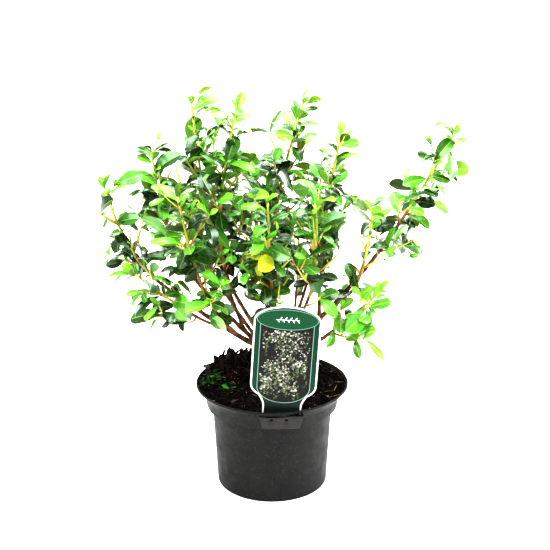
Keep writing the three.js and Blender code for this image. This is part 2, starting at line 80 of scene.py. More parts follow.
# Pot, holder and label, the same sizes as the solids
POT_HEIGHT = 118
POT_WALL = 1.8
POT_FLOOR = 2.4
BASE_RADIUS = 62
BODY_TOP_RADIUS = 67
COLLAR_RADIUS = 73.6
COLLAR_BOTTOM = 93
COLLAR_TOP = 104
LIP_RADIUS = 85
POT_SIDES = 144
DRAIN_HOLES = 6
DRAIN_RADIUS = 4
DRAIN_CIRCLE = 47
HOLDER_CENTRE = 9.5
HOLDER_TOP_WIDTH = 48
HOLDER_BOTTOM_WIDTH = 40
HOLDER_BOTTOM = 97
HOLDER_TOP = 112
HOLDER_FRONT = 80.4
SLOT_WIDTH = 44.6
SLOT_GAP = 1.4
SLOT_BOTTOM = 103
LABEL_PLANE = 75
LABEL_WIDTH = 71
LABEL_TOP = 234
LABEL_ARCH = 17
LABEL_THICKNESS = 0.7
LABEL_SHOULDER = 146
LABEL_NECK_WIDTH = 42.4
LABEL_NECK_TOP = 121
LABEL_FILLET = 5
LABEL_FILLET_RISE = 12
LABEL_SHOULDER_RISE = 8
LABEL_FOOT = 104.8
LABEL_TILT = math.radians(3.6)

# Room kept free of leaves about the label, whose middle stands a little to the right of its foot
LABEL_SHIFT = 4
LABEL_ROOM_BESIDE = 8
LABEL_ROOM_BEHIND = 3
LABEL_ROOM_ABOVE = 3

# Compost, the same surface as the solid
SOIL_GAP = 0.5
SOIL_EDGE_HEIGHT = 116
SOIL_CROWN_HEIGHT = 117
CLOD_HEIGHT = 1.5
HEAP_HEIGHT = 12
HEAP_EDGE_RISE = 1.5
HEAP_DIRECTION = math.radians(132)

# Growth rule, the same as the solids'
JOINT_GAP = 0.3
LIMB_STEPS = 4
BOUGH_OUT = 0.52
BOUGH_RISE = 0.42
LEADER_STEPS = 4
LEADER_STIFFNESS = 0.35
TWIG_LEAN = math.radians(52)
TWIG_LIFT = 0.25
TWIGS_FROM = 0.04
TWIGS_TO = 0.8
TWIG_STAGGER = 0.6
SMALLER = (1, 0.78, 0.6)
SPACE_GAP = 0.5
LIMB_CLEARANCE = 1.2
LOWEST_LEAF = 170

TRUNK = {"foot": (5, 3, 116.5), "top": (8, 0, 149), "foot_radius": 9.5, "radius": 5.6}

BOUGHS = [
    ("far_left", "trunk", 0.9, (-122, -19, 242), (3.3, 1.9)),
    ("far_right", "trunk", 0.95, (110, 8, 258), (3.5, 1.9)),
    ("centre", "trunk", 0.9, (-40, -14, 226), (3.1, 1.9)),
    ("upper_right", "trunk", 0.9, (0, 28, 236), (3.1, 1.9)),
    ("left", "trunk", 0.8, (-84, 18, 230), (2.9, 1.8)),
    ("low_right", "trunk", 0.7, (60, -28, 184), (2.6, 1.7)),
    ("right", "far_right", 0.42, (52, -2, 238), (2.3, 1.7)),
    ("centre_front", "trunk", 0.75, (2, -34, 206), (2.6, 1.7)),
    ("back", "trunk", 0.75, (-12, 54, 224), (2.8, 1.8)),
    ("back_right", "trunk", 0.6, (40, 50, 218), (2.6, 1.7)),
    ("back_left", "trunk", 0.6, (-62, 58, 216), (2.6, 1.7)),
    ("upper_left", "left", 0.4, (-58, 38, 244), (2.1, 1.6)),
    ("left_front", "far_left", 0.3, (-58, -38, 212), (2.1, 1.6)),
    ("low_left", "far_left", 0.45, (-76, -38, 206), (1.9, 1.5)),
    ("right_front", "centre_front", 0.45, (32, -38, 214), (1.9, 1.5)),
    ("right_side", "far_right", 0.6, (84, -18, 228), (1.8, 1.5)),
    ("low_back", "back_right", 0.5, (28, 72, 196), (1.9, 1.5)),
]

MASSES = [
    ("far_left", (-172, -30, 344), 35, 6, 11),
    ("left", (-129, 22, 378), 40, 7, 32),
    ("upper_left", (-86, 44, 420), 42, 7, 13),
    ("centre", (-36, -20, 424), 44, 8, 14),
    ("upper_right", (33, 38, 421), 44, 8, 15),
    ("right", (71, -4, 394), 28, 6, 16),
    ("far_right", (190, 0, 396), 33, 6, 17),
    ("right_side", (104, -34, 318), 31, 5, 18),
    ("low_right", (112, -56, 242), 38, 6, 19),
    ("low_left", (-140, -60, 262), 38, 6, 20),
    ("left_front", (-94, -64, 345), 42, 7, 21),
    ("centre_front", (-4, -68, 340), 42, 6, 22),
    ("right_front", (44, -62, 338), 40, 6, 23),
    ("back_left", (-110, 92, 345), 42, 6, 24),
    ("back", (-18, 96, 354), 44, 7, 25),
    ("back_right", (56, 92, 356), 42, 6, 26),
    ("low_back", (32, 124, 258), 40, 5, 27),
]

# Added to a mass's own seed, to set its finer twigs and leaves going
LEAF_SEED = 100

# Where the photo's camera stands, and how it looks
EYE = (3.3, -1134.5, 614.0)
CAMERA_TILT = math.radians(71.87)
LENS = 72
SENSOR = 36

# The white gaps that the photo shows in and about the crown, read on the upright plane through the
# trunk: middle across, middle height, half width, half height
SKY = {
    "outside the crown at the left": (-205, 300, 23, 80),
    "over the left shoot": (-102, 410, 16, 22),
    "right of the left shoot": (-100, 358, 13, 10),
    "right of the far left leaves": (-163, 326, 7, 10),
    "left of the left shoot's foot": (-140, 288, 7, 9),
    "left of the far left bough": (-168, 215, 12, 18),
    "under the far left leaves": (-148, 234, 9, 8),
    "in the crown at the left": (-94, 278, 5, 8),
    "over the left boughs": (-74, 234, 9, 7),
    "over the low left bough": (-83, 189, 15, 8),
    "under the crown at the left": (-90, 162, 75, 17),
    "left of the middle shoot": (-50, 432, 5, 10),
    "under the middle shoot's leaves": (-52, 392, 6, 6),
    "between the two highest shoots": (0, 434, 18, 12),
    "over the middle of the crown": (-8, 392, 24, 9),
    "left of the right shoot's tip": (58, 412, 10, 20),
    "left of the right shoot": (42, 374, 11, 8),
    "in the crown at the right": (38, 272, 6, 6),
    "right of the right shoot": (88, 347, 14, 10),
    "between the right and far right shoots": (112, 372, 14, 38),
    "between the crown and the far right bough": (85, 286, 12, 28),
    "over the right bough": (72, 258, 8, 16),
    "behind the label's right corner": (40, 214, 13, 10),
    "over the low right shoot": (112, 249, 8, 7),
    "right of the low right shoot": (158, 238, 20, 11),
    "under the low right shoot": (140, 185, 24, 24),
    "over the far right leaves": (134, 384, 16, 18),
    "left of the far right shoot": (157, 361, 12, 11),
    "over the far right bough": (158, 288, 11, 7),
    "right of the far right leaves": (176, 312, 7, 8),
    "under the far right shoot": (186, 290, 18, 22),
}


# Colours and finishes

SPECKLE_DETAIL = 3
MOTTLE_DETAIL = 5
NOISE_RANGE = (0.3, 0.7)


def linear(red, green, blue):
    """A screen colour of 0 to 255 as the shader's own linear values."""
    def one(value):
        share = value / 255
        return share / 12.92 if share <= 0.04045 else ((share + 0.055) / 1.055) ** 2.4
    return (one(red), one(green), one(blue), 1.0)


def noise_over(tree, scale, detail):
    """Noise of one scale, laid over a piece by its own coordinates."""
    place = tree.nodes.new("ShaderNodeTexCoord")
    pattern = tree.nodes.new("ShaderNodeTexNoise")
    pattern.inputs["Scale"].default_value = scale
    pattern.inputs["Detail"].default_value = detail
    tree.links.new(place.outputs["Object"], pattern.inputs["Vector"])
    return pattern.outputs["Fac"]


def finish(name, colour, roughness, spread=0.08, grain=60.0, bump=0.1, depth=0.0002, **sockets):
    """A plain colour whose roughness and relief come from noise."""
    material = bpy.data.materials.new(name)
    material.use_nodes = True
    tree = material.node_tree
    shader = tree.nodes["Principled BSDF"]
    shader.inputs["Base Color"].default_value = linear(*colour)
    for socket, value in sockets.items():
        shader.inputs[socket.replace("_", " ")].default_value = value
    speckle = noise_over(tree, grain, SPECKLE_DETAIL)
    polish = tree.nodes.new("ShaderNodeMapRange")
    polish.inputs["From Min"].default_value, polish.inputs["From Max"].default_value = NOISE_RANGE
    polish.inputs["To Min"].default_value = roughness - spread
    polish.inputs["To Max"].default_value = roughness + spread
    tree.links.new(speckle, polish.inputs["Value"])
    tree.links.new(polish.outputs["Result"], shader.inputs["Roughness"])
    relief = tree.nodes.new("ShaderNodeBump")
    relief.inputs["Strength"].default_value = bump
    relief.inputs["Distance"].default_value = depth
    tree.links.new(speckle, relief.inputs["Height"])
    tree.links.new(relief.outputs["Normal"], shader.inputs["Normal"])
    return material


def finishes(colours, roughness, **looks):
    return [finish(name, colour, roughness, **looks) for name, colour in colours]


def mottled(material, dark, light, scale, low, high):
    """Lays a two-colour mottle over a finish's plain colour."""
    tree = material.node_tree
    ramp = tree.nodes.new("ShaderNodeValToRGB")
    for stop, position, colour in zip(ramp.color_ramp.elements, (low, high), (dark, light)):
        stop.position = position
        stop.color = linear(*colour)
    tree.links.new(noise_over(tree, scale, MOTTLE_DETAIL), ramp.inputs["Fac"])
    tree.links.new(ramp.outputs["Color"], tree.nodes["Principled BSDF"].inputs["Base Color"])
    return material


def leaf_finish(name, colour, roughness, gloss):
    return finish(
        name, colour, roughness, spread=0.06, grain=260, bump=0.25, depth=0.0003,
        Subsurface_Weight=0.1, Subsurface_Scale=0.002, Specular_IOR_Level=0.85 * gloss,
        Specular_Tint=(0.8, 1.0, 0.85, 1.0), Coat_Weight=0.2 * gloss, Coat_Roughness=0.14,
    )


# Meshes

def mesh_piece(name, points, face_sets, materials, sharp=None):
    """One mesh object from points in millimetres and sets of faces, each face the numbers of its points.

    Each set comes with the number of its material, or with one number for each face.
    """
    mesh = bpy.data.meshes.new(name)
    points = np.asarray(points, dtype=np.float64) * MM
    mesh.vertices.add(len(points))
    mesh.vertices.foreach_set("co", points.astype(np.float32).ravel())
    corners = np.concatenate([faces.ravel() for faces, _ in face_sets]).astype(np.int32)
    sizes = np.concatenate([np.full(len(faces), faces.shape[1]) for faces, _ in face_sets])
    slots = np.concatenate([np.broadcast_to(slot, len(faces)) for faces, slot in face_sets])
    mesh.loops.add(len(corners))
    mesh.loops.foreach_set("vertex_index", corners)
    mesh.polygons.add(len(sizes))
    mesh.polygons.foreach_set("loop_start", (np.cumsum(sizes) - sizes).astype(np.int32))
    mesh.polygons.foreach_set("material_index", slots.astype(np.int32))
    mesh.polygons.foreach_set("use_smooth", np.ones(len(sizes), dtype=bool))
    mesh.update(calc_edges=True)
    for material in materials:
        mesh.materials.append(material)
    if sharp is not None:
        mesh.set_sharp_from_angle(angle=math.radians(sharp))
    piece = bpy.data.objects.new(name, mesh)
    bpy.context.collection.objects.link(piece)
    return piece


class Shapes:
    """Closed shapes gathered into one mesh."""

    def __init__(self):
        self.points = []
        self.count = 0
        self.face_sets = []

    def add(self, points, *face_sets):
        self.face_sets += [(faces + self.count, slots) for faces, slots in face_sets]
        self.points.append(points)
        self.count += len(points)

    def piece(self, name, materials, sharp=None):
        return mesh_piece(name, np.concatenate(self.points), self.face_sets, materials, sharp)


def dress(piece, slot, *nodes):
    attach(piece, "root")
    if nodes:
        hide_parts(*nodes)


def applied(piece):
    """Works a piece's modifiers into its mesh."""
    graph = bpy.context.evaluated_depsgraph_get()
    mesh = bpy.data.meshes.new_from_object(piece.evaluated_get(graph))
    piece.modifiers.clear()
    old = piece.data
    piece.data = mesh
    mesh.name = piece.name
    bpy.data.meshes.remove(old)


def grid_faces(rows, columns, closed):
    """The four-cornered faces of a grid of points, row by row."""
    row, column = np.meshgrid(np.arange(rows - 1), np.arange(columns - (not closed)), indexing="ij")
    here = row * columns + column
    beside = row * columns + (column + 1) % columns
    return np.stack([here, beside, beside + columns, here + columns], axis=-1).reshape(-1, 4)


def end_faces(rows, sides):
    """The two flat ends of a tube of point rows."""
    first = np.arange(sides)
    return np.stack([first[::-1], first + (rows - 1) * sides])


def rings_piece(name, points, sides, material, sharp=None):
    """One closed piece from rows of points, each row a ring."""
    rows = len(points) // sides
    face_sets = [(grid_faces(rows, sides, True), 0), (end_faces(rows, sides), 0)]
    return mesh_piece(name, points, face_sets, [material], sharp)


def lathe_points(profile, sides):
    turn = np.arange(sides) * TURN / sides
    ring = np.stack([np.cos(turn), np.sin(turn)], axis=-1)
    rows = [np.column_stack([ring * radius, np.full(sides, height)]) for radius, height in profile]
    return np.concatenate(rows)


def turned_piece(name, profile, sides, material):
    return rings_piece(name, lathe_points(profile, sides), sides, material)


def cut(piece, tool, operation):
    change = piece.modifiers.new(operation, "BOOLEAN")
    change.operation = operation
    change.object = tool
    change.solver = "EXACT"
    applied(piece)
    mesh = tool.data
    bpy.data.objects.remove(tool)
    bpy.data.meshes.remove(mesh)


def plate(outline, back, front):
    """Points, side faces and end faces of an outline in X and Z between two depths along Y."""
    outline = np.asarray(outline, dtype=float)
    count = len(outline)
    points = [np.insert(outline, 1, depth, axis=1) for depth in (back, front)]
    return np.concatenate(points), grid_faces(2, count, True), end_faces(2, count)


def prism(name, outline, back, front, material):
    points, sides, ends = plate(outline, back, front)
    return mesh_piece(name, points, [(sides, 0), (ends, 0)], [material], sharp=30)


# Random numbers and curves of the growth rule

def random_from(seed):
    state = (seed * 2654435761) & 0xFFFFFFFF

    def draw():
        nonlocal state
        state = (state * 1664525 + 1013904223) & 0xFFFFFFFF
        return state / 4294967296
    return draw


def lerp(low, high, share):
    return low + (high - low) * share


def unit(vector):
    return vector / np.linalg.norm(vector)


def point_on(curve, share):
    start, middle, end = curve
    share = np.asarray(share, dtype=float)[..., None]
    return (1 - share) ** 2 * start + 2 * (1 - share) * share * middle + share ** 2 * end


def heading_on(curve, share):
    start, middle, end = curve
    return unit(2 * (1 - share) * (middle - start) + 2 * share * (end - middle))


def length_of(curve):
    points = point_on(curve, np.linspace(0, 1, 201))
    return np.linalg.norm(np.diff(points, axis=0), axis=1).sum()


def turned_about(vector, axis, angle):
    across = np.cross(axis, vector)
    along = axis * np.dot(axis, vector)
    return along + (vector - along) * math.cos(angle) + across * math.sin(angle)


def leaning(axis, turn, lean):
    """A direction that leans away from an axis by an angle, at a turn about it."""
    side = np.cross([1.0, 0.0, 0.0], axis)
    if np.linalg.norm(side) < 0.2:
        side = np.cross([0.0, 1.0, 0.0], axis)
    side = turned_about(unit(side), axis, turn)
    return axis * math.cos(lean) + side * math.sin(lean)


def varied(draw):
    return 0.85 + 0.3 * draw()


# Limbs

def grown_limbs():
    foot = np.array(TRUNK["foot"], dtype=float)
    top = np.array(TRUNK["top"], dtype=float)
    trunk = {"name": "trunk", "curve": (foot, (foot + top) / 2, top), "radii": (TRUNK["radius"],) * 2,
             "path": np.array([foot, top])}
    limbs = {"trunk": trunk}
    for name, parent, share, tip, radii in BOUGHS:
        start = point_on(limbs[parent]["curve"], share)
        tip = np.array(tip, dtype=float)
        middle = start + (tip - start) * (BOUGH_OUT, BOUGH_OUT, BOUGH_RISE)
        curve = (start, middle, tip)
        path = point_on(curve, np.linspace(0, 1, LIMB_STEPS + 1))
        limbs[name] = {"name": name, "curve": curve, "radii": radii, "path": path}
    return limbs


def grown_masses(limbs):
    masses = []
    for name, tip, reach, twigs, seed in MASSES:
        bough = limbs[name]["curve"]
        tip = np.array(tip, dtype=float)
        direction = heading_on(bough, 1)
        start = bough[2] + direction * JOINT_GAP
        ahead = start + direction * LEADER_STIFFNESS * np.linalg.norm(tip - start)
        leader = (start, ahead, tip)
        path = point_on(leader, np.linspace(0, 1, LEADER_STEPS + 1))
        masses.append({"name": name, "leader": leader, "path": path, "reach": reach,
                       "twigs": twigs, "seed": seed, "tip_radius": limbs[name]["radii"][1]})
    return masses


def distances(points, starts, ends):
    """From each point to each straight stretch between a start and an end."""
    span = ends - starts
    away = points[:, None] - starts
    share = np.clip((away * span).sum(-1) / (span * span).sum(-1), 0, 1)
    return np.linalg.norm(away - share[..., None] * span, axis=-1)


def seen_at(points):
    """Where the photo's camera sees points on the upright plane through the trunk."""
    share = -EYE[1] / (points[:, 1] - EYE[1])
    return EYE[0] + (points[:, 0] - EYE[0]) * share, EYE[2] + (points[:, 2] - EYE[2]) * share


def in_sky(points):
    """Whether much of a leaf or twig would stand before open sky."""
    across, height = seen_at(points)
    for middle, level, half_width, half_height in SKY.values():
        inside = ((across - middle) / half_width) ** 2 + ((height - level) / half_height) ** 2 < 1
        if inside.mean() > SKY_SHARE:
            return True
    return False


def clear_of_label(points):
    beside = np.abs(points[:, 0] - HOLDER_CENTRE - LABEL_SHIFT) > LABEL_WIDTH / 2 + LABEL_ROOM_BESIDE
    behind = points[:, 1] > LABEL_ROOM_BEHIND - LABEL_PLANE
    return beside | behind | (points[:, 2] > LABEL_TOP + LABEL_ROOM_ABOVE)


def stretches(paths):
    """The starts and the ends of all the straight stretches of some paths."""
    return np.concatenate([path[:-1] for path in paths]), np.concatenate([path[1:] for path in paths])


class Spaces:
    """Where a mass may grow: its own space, clear of limbs and label, inside its solid's box."""

    def __init__(self, limbs, masses):
        self.starts, self.ends = stretches([mass["path"] for mass in masses])
        self.owner = np.repeat(np.arange(len(masses)), LEADER_STEPS)
        self.limb_starts, self.limb_ends = stretches([limb["path"] for limb in limbs.values()])
        self.limb_reach = np.concatenate([
            np.full(len(limb["path"]) - 1, limb["radii"][0] + LIMB_CLEARANCE) for limb in limbs.values()
        ])
        boxes = np.array([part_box("foliage_" + mass["name"]) for mass in masses]) / MM
        self.low = np.maximum(boxes[:, 0] - BOX_SLACK, np.array(cad_box[0]) / MM)
        self.high = np.minimum(boxes[:, 1] + BOX_SLACK, np.array(cad_box[1]) / MM)

    def allows(self, points, mass, boxed=True):
        if (points[:, 2] <= LOWEST_LEAF).any():
            return False
        if boxed and in_sky(points):
            return False
        if boxed and ((points < self.low[mass]) | (points > self.high[mass])).any():
            return False
        if not clear_of_label(points).all():
            return False
        if (distances(points, self.limb_starts, self.limb_ends) <= self.limb_reach).any():
            return False
        near = distances(points, self.starts, self.ends)
        mine = self.owner == mass
        return (near[:, ~mine].min(1) > near[:, mine].min(1) + 2 * SPACE_GAP).all()


# Visual growth: the rule's leaders and twigs, and then finer twigs and leaves of true size

BOX_SLACK = 3.0
TWIG_TESTS = [0.35, 0.55, 0.75, 1]
TWIG_SIZES = (1.15, 0.65)
TWIG_RADII = (1.4, 0.85)
SPUR_SPACING = 22
SPUR_LEAN = math.radians(46)
SPUR_LENGTH = 24
SPUR_SIZES = (1.1, 0.7)
SPUR_RADII = (0.9, 0.6)
SPUR_STAGGER = 0.4
LEADER_SWELL = 1.2
LEADER_TIP_RADIUS = 1.25
SKY_SHARE = 0.2
LEAFY_END = 0.02

# Leaves: spans are what the first and the last leaf of a stem take, or what chance picks between
LEAF_SPACING = 6.8
LEAF_LENGTH = 37
LEAF_WIDTH_SHARE = 0.51
LEAF_LEANS = (math.radians(76), math.radians(44))
LEAF_TAPER = (1, 0.85)
LEAF_SIZES = (0.68, 1.15)
LEAF_CROWDING = 1.2
LAST_LEAF = 0.95
LEAF_TWIST = 1.2
LEAF_ROOM = 11
FULL_ROOM_LENGTH = 28
LEAF_SINK = 0.2
TIP_LEAVES = 4
TIP_PLACE = 0.99
TIP_STEP = 0.02
TIP_LEANS = (30, 56)
TIP_SIZES = (0.62, 1.0)
BUD_LEAVES = 3
BUD_LENGTH = 13
BUD_LEANS = (12, 24)
BUD_SIZES = (0.8, 1.4)
LEADER_BUD = 1.7

# Places on a blade, along it and across it, that are tested for room, and how far its tip hangs
TESTS_ALONG = np.array([0.3, 0.65, 1.0, 0.62, 0.62, 0.35, 0.35, 0.88, 0.88])
TESTS_ACROSS = np.array([0, 0, 0, 1, -1, 0.75, -0.75, 0.7, -0.7])
TIP_DROP = -0.1


def twig_curve(start, direction, length):
    tip = start + direction * length
    return (start, (start + tip) / 2, tip + UP * TWIG_LIFT * length)


def fitting_twig(start, direction, length, mass, spaces, boxed):
    for size in SMALLER:
        curve = twig_curve(start, direction, length * size)
        if spaces.allows(point_on(curve, TWIG_TESTS), mass, boxed):
            return curve
    return None


def rod_point(path, share):
    """On the solid leader's own middle line, which is straight between its steps."""
    step = min(int(share * LEADER_STEPS), LEADER_STEPS - 1)
    return lerp(path[step], path[step + 1], share * LEADER_STEPS - step)


def rule_twigs(index, mass, spaces):
    """The same side twigs as the solid's."""
    draw = random_from(mass["seed"])
    twigs = []
    for k in range(mass["twigs"]):
        share = lerp(TWIGS_FROM, TWIGS_TO, (k + TWIG_STAGGER * draw()) / mass["twigs"])
        direction = leaning(heading_on(mass["leader"], share), k * GOLDEN + draw(), TWIG_LEAN)
        length = mass["reach"] * lerp(*TWIG_SIZES, share) * varied(draw)
        curve = fitting_twig(rod_point(mass["path"], share), direction, length, index, spaces, False)
        if curve is not None:
            twigs.append({"curve": curve, "radii": TWIG_RADII, "height": share})
    return twigs


def cut_back(stems):
    """The stems without their bare ends: each ends at its last leaf or leafy side stem."""
    kept = []
    for stem in stems[::-1]:
        if stem["leafy"] == 0:
            continue
        if "parent" in stem:
            stem["parent"]["leafy"] = max(stem["parent"]["leafy"], stem["at"])
        start, middle, _ = stem["curve"]
        share = min(1, stem["leafy"] + LEAFY_END)
        stem["curve"] = (start, lerp(start, middle, share), point_on(stem["curve"], share))
        kept.append(stem)
    return kept[::-1]


def spurs_of(stem, index, spaces, draw):
    """Finer twigs on a stem, turned about it by the golden angle."""
    count = int(length_of(stem["curve"]) / SPUR_SPACING)
    first = TURN * draw()
    spurs = []
    for k in range(count):
        share = (k + SPUR_STAGGER + SPUR_STAGGER * draw()) / count
        direction = leaning(heading_on(stem["curve"], share), first + k * GOLDEN, SPUR_LEAN)
        length = SPUR_LENGTH * lerp(*SPUR_SIZES, share) * varied(draw)
        start = point_on(stem["curve"], share)
        curve = fitting_twig(start, direction, length, index, spaces, True)
        if curve is not None:
            spurs.append({"curve": curve, "radii": SPUR_RADII, "height": stem["height"] or share,
                          "parent": stem, "at": share})
    return spurs


def leaf_tests(root, direction, side, normal, length):
    """Points on a blade: along its middle and at its two edges."""
    across = TESTS_ACROSS * 0.5 * LEAF_WIDTH_SHARE
    drop = TIP_DROP * TESTS_ALONG ** 2
    steps = (TESTS_ALONG[:, None] * direction + across[:, None] * side + drop[:, None] * normal) * length
    return root + steps


def try_leaf(leaves, stem, share, turn, lean, length, index, spaces, draw):
    """Adds a leaf at a share of the stem's length, or a smaller one, where there is room."""
    axis = heading_on(stem["curve"], share)
    direction = leaning(axis, turn, lean)
    side = turned_about(unit(np.cross(direction, axis)), direction, LEAF_TWIST * (draw() - 0.5))
    if side[0] * direction[1] > side[1] * direction[0]:
        side = -side
    normal = np.cross(direction, side)
    root = point_on(stem["curve"], share) - LEAF_SINK * direction
    leaf = {"root": root, "direction": direction, "side": side, "normal": normal,
            "tone": draw(), "bend": draw(), "share": share}
    for size in SMALLER:
        reach = length * size
        middle = root + direction * reach / 2
        if leaves:
            nearest = np.linalg.norm(np.array([other["middle"] for other in leaves]) - middle, axis=1)
            if (nearest < LEAF_ROOM * min(1, reach / FULL_ROOM_LENGTH)).any():
                continue
        if spaces.allows(leaf_tests(root, direction, side, normal, reach), index):
            leaves.append({**leaf, "length": reach, "middle": middle})
            return


def leaves_on(leaves, stem, index, spaces, draw):
    """A crown of leaves about the stem's tip, a bud in it, and then the leaves below."""
    first = TURN * draw()
    bud = BUD_LENGTH * (LEADER_BUD if stem["height"] == 0 else 1)
    for k in range(BUD_LEAVES):
        lean = math.radians(lerp(*BUD_LEANS, draw()))
        length = bud * lerp(*BUD_SIZES, draw())
        try_leaf(leaves, stem, 1.0, first + k * TURN / BUD_LEAVES, lean, length, index, spaces, draw)
    for k in range(TIP_LEAVES):
        lean = math.radians(lerp(*TIP_LEANS, draw()))
        length = LEAF_LENGTH * lerp(*TIP_SIZES, draw())
        share = TIP_PLACE - TIP_STEP * k
        try_leaf(leaves, stem, share, first + (k + 0.5) * GOLDEN, lean, length, index, spaces, draw)
    count = max(2, round(length_of(stem["curve"]) / LEAF_SPACING))
    for k in range(count):
        share = LAST_LEAF * (1 - (1 - (k + 0.5) / count) ** LEAF_CROWDING)
        lean = lerp(*LEAF_LEANS, share) * varied(draw)
        length = LEAF_LENGTH * lerp(*LEAF_TAPER, share) * lerp(*LEAF_SIZES, draw())
        try_leaf(leaves, stem, share, first + k * GOLDEN, lean, length, index, spaces, draw)


def grown_mass(index, mass, spaces):
    leader = {"curve": mass["leader"], "height": 0,
              "radii": (LEADER_SWELL * mass["tip_radius"], LEADER_TIP_RADIUS)}
    twigs = rule_twigs(index, mass, spaces)
    draw = random_from(mass["seed"] + LEAF_SEED)
    stems = [leader, *twigs]
    for stem in list(stems):
        stems.extend(spurs_of(stem, index, spaces, draw))
    leaves = []
    for stem in stems:
        before = len(leaves)
        leaves_on(leaves, stem, index, spaces, draw)
        stem["leafy"] = max((leaf["share"] for leaf in leaves[before:]), default=0)
    return cut_back(stems), leaves


# Leaf blades: one closed template, bent and folded for each leaf

ROWS = 15
ACROSS = np.array([-1, -0.55, -0.07, 0.07, 0.55, 1])
PETIOLE = 0.1
PETIOLE_WIDTHS = (0.09, 0.07)
TOOTH = 0.05
PETIOLE_HALF_THICKNESS = 0.5
BLADE_HALF_THICKNESS = 0.17
MIDRIB_GROOVE = -0.12

# What each face about a blade shows: its upper side, under side, midrib, or the upper side's other half,
# which is painted a tone lighter or darker as painted light and shade on the folded blade
UPPER, UNDER, RIB, PAINTED_LIGHT_HALF = range(4)
SIDES_OF_A_TONE = 3
KINDS = np.array([UPPER, UPPER, RIB, PAINTED_LIGHT_HALF, PAINTED_LIGHT_HALF, UPPER,
                  UNDER, UNDER, RIB, UNDER, UNDER, UPPER])
EDGES = (5, 11)

# Spans that chance picks a blade's curl, fold, breadth and cupped halves from, and its waves and veins
CURLS = (0.3, 1.1)
FOLDS = (0.12, 0.42)
BREADTHS = (0.88, 1.12)
CUPS = (-0.35, 0.15)
WAVE_HEIGHT = 0.012
WAVES = 2.3
VEIN_HEIGHT = 0.003
VEINS = 7


def blade_template():
    """The blade's points along, across and through it, its faces and what each of them shows."""
    along = np.concatenate([[0, PETIOLE / 2], np.linspace(PETIOLE, 1, ROWS - 2)])
    blade = np.clip((along - PETIOLE) / (1 - PETIOLE), 0, 1)
    swell = blade ** 0.9 * (1 - blade) ** 0.58
    width = np.maximum(swell / swell.max(), PETIOLE_WIDTHS[1])
    width[:2] = PETIOLE_WIDTHS
    across = ACROSS * width[:, None]
    across[::2, [0, -1]] *= 1 - TOOTH
    thick = np.where(along < PETIOLE, PETIOLE_HALF_THICKNESS, BLADE_HALF_THICKNESS)[:, None]
    groove = np.where(np.abs(ACROSS) < 0.1, MIDRIB_GROOVE, 0.0) * (width > 0.3)[:, None]
    rim = len(KINDS)
    t = np.repeat(along, rim)
    s = np.hstack([across, across[:, ::-1]]).ravel()
    through = np.hstack([groove + thick, (groove - thick)[:, ::-1]]).ravel()
    around = grid_faces(ROWS, rim, True)
    cell = np.arange(len(ACROSS) - 1)
    foot = np.stack([cell, rim - 1 - cell, rim - 2 - cell, cell + 1], axis=-1)
    head = foot[:, ::-1] + (ROWS - 1) * rim
    row, column = np.divmod(np.arange(len(around)), rim)
    stalk = (row < 2) & ~np.isin(column, EDGES)
    kinds = np.concatenate([np.where(stalk, RIB, KINDS[column]), np.full(len(foot) + len(head), UPPER)])
    return t, s, through, np.concatenate([around, foot, head]), kinds


def blades(leaves, draw_numbers):
    """All blades of one mass as one array of points."""
    t, s, through, faces, kinds = blade_template()
    root, direction, side, normal, length, bend = [
        np.array([leaf[key] for leaf in leaves])[:, None]
        for key in ("root", "direction", "side", "normal", "length", "bend")
    ]
    chances = (len(leaves), 1)
    curl = lerp(*CURLS, bend)
    fold = lerp(*FOLDS, draw_numbers.random(chances))
    phase = TURN * draw_numbers.random(chances)
    broad = lerp(*BREADTHS, draw_numbers.random(chances))
    angle = curl * t
    ahead = np.sin(angle) / curl * length
    dip = (1 - np.cos(angle)) / curl * length
    half = 0.5 * LEAF_WIDTH_SHARE * length * broad * s
    wave = WAVE_HEIGHT * length * np.sin(TURN * WAVES * t + phase + 1.5 * np.sign(s)) * s ** 2
    cup = lerp(*CUPS, draw_numbers.random(chances)) * np.abs(half) * np.abs(s)
    veins = VEIN_HEIGHT * length * np.sin(TURN * VEINS * t + 3 * np.abs(s)) * np.abs(s) * (1 - np.abs(s))
    thickness = through * (length / LEAF_LENGTH)
    rise = np.abs(half) * np.sin(fold) + cup + wave + veins - dip + thickness
    points = (root + direction * ahead[..., None] + side * (half * np.cos(fold))[..., None]
              + normal * rise[..., None])
    first = np.arange(len(leaves)) * len(t)
    all_faces = (faces[None] + first[:, None, None]).reshape(-1, 4)
    return points.reshape(-1, 3), all_faces, kinds


# Tones of a leaf: upper side, under side, midrib with its stalk, and roughness
TONES = [
    ("deep", (15, 41, 8), (38, 76, 26), (58, 96, 40), 0.24),
    ("dark", (31, 70, 14), (56, 104, 36), (84, 128, 48), 0.25),
    ("mid", (53, 106, 28), (80, 130, 48), (112, 154, 58), 0.27),
    ("bright", (76, 140, 42), (98, 150, 58), (130, 172, 66), 0.28),
    ("fresh", (88, 160, 46), (112, 168, 66), (148, 188, 76), 0.3),
    ("young", (106, 170, 48), (130, 178, 74), (164, 196, 86), 0.32),
    ("yellow", (196, 204, 56), (190, 194, 90), (206, 210, 110), 0.32),
]
YELLOW = len(TONES) - 1
YOUNG_GLOSS = 0.25
UNDER_ROUGHER = 0.16
RIB_ROUGHER = 0.1

# Masses whose leaves are all young
YOUNG_SHOOTS = {"low_right": 0.3}

# Old leaves turned yellow, seen on the plane through the trunk: across, height, reach
YELLOW_SPOTS = [(-11, 257, 9), (31, 259, 3)]
YELLOW_BEFORE = -30

# How much lighter a leaf gets up the crown and out from its middle, which is painted light and shade, and
# to a twig's tip and by chance
CROWN_FOOT = 200
CROWN_HEIGHT = 230
CROWN_RADIUS = 190
CROWN_DEPTH = 10
PAINTED_LIGHT_UP = 0.32
PAINTED_LIGHT_OUT = 0.1
LIGHTER_TIP = 0.24
LIGHTER_BUD = 0.25
LIGHTER_BY_CHANCE = 0.8
LEAST_LIGHT = 0.1


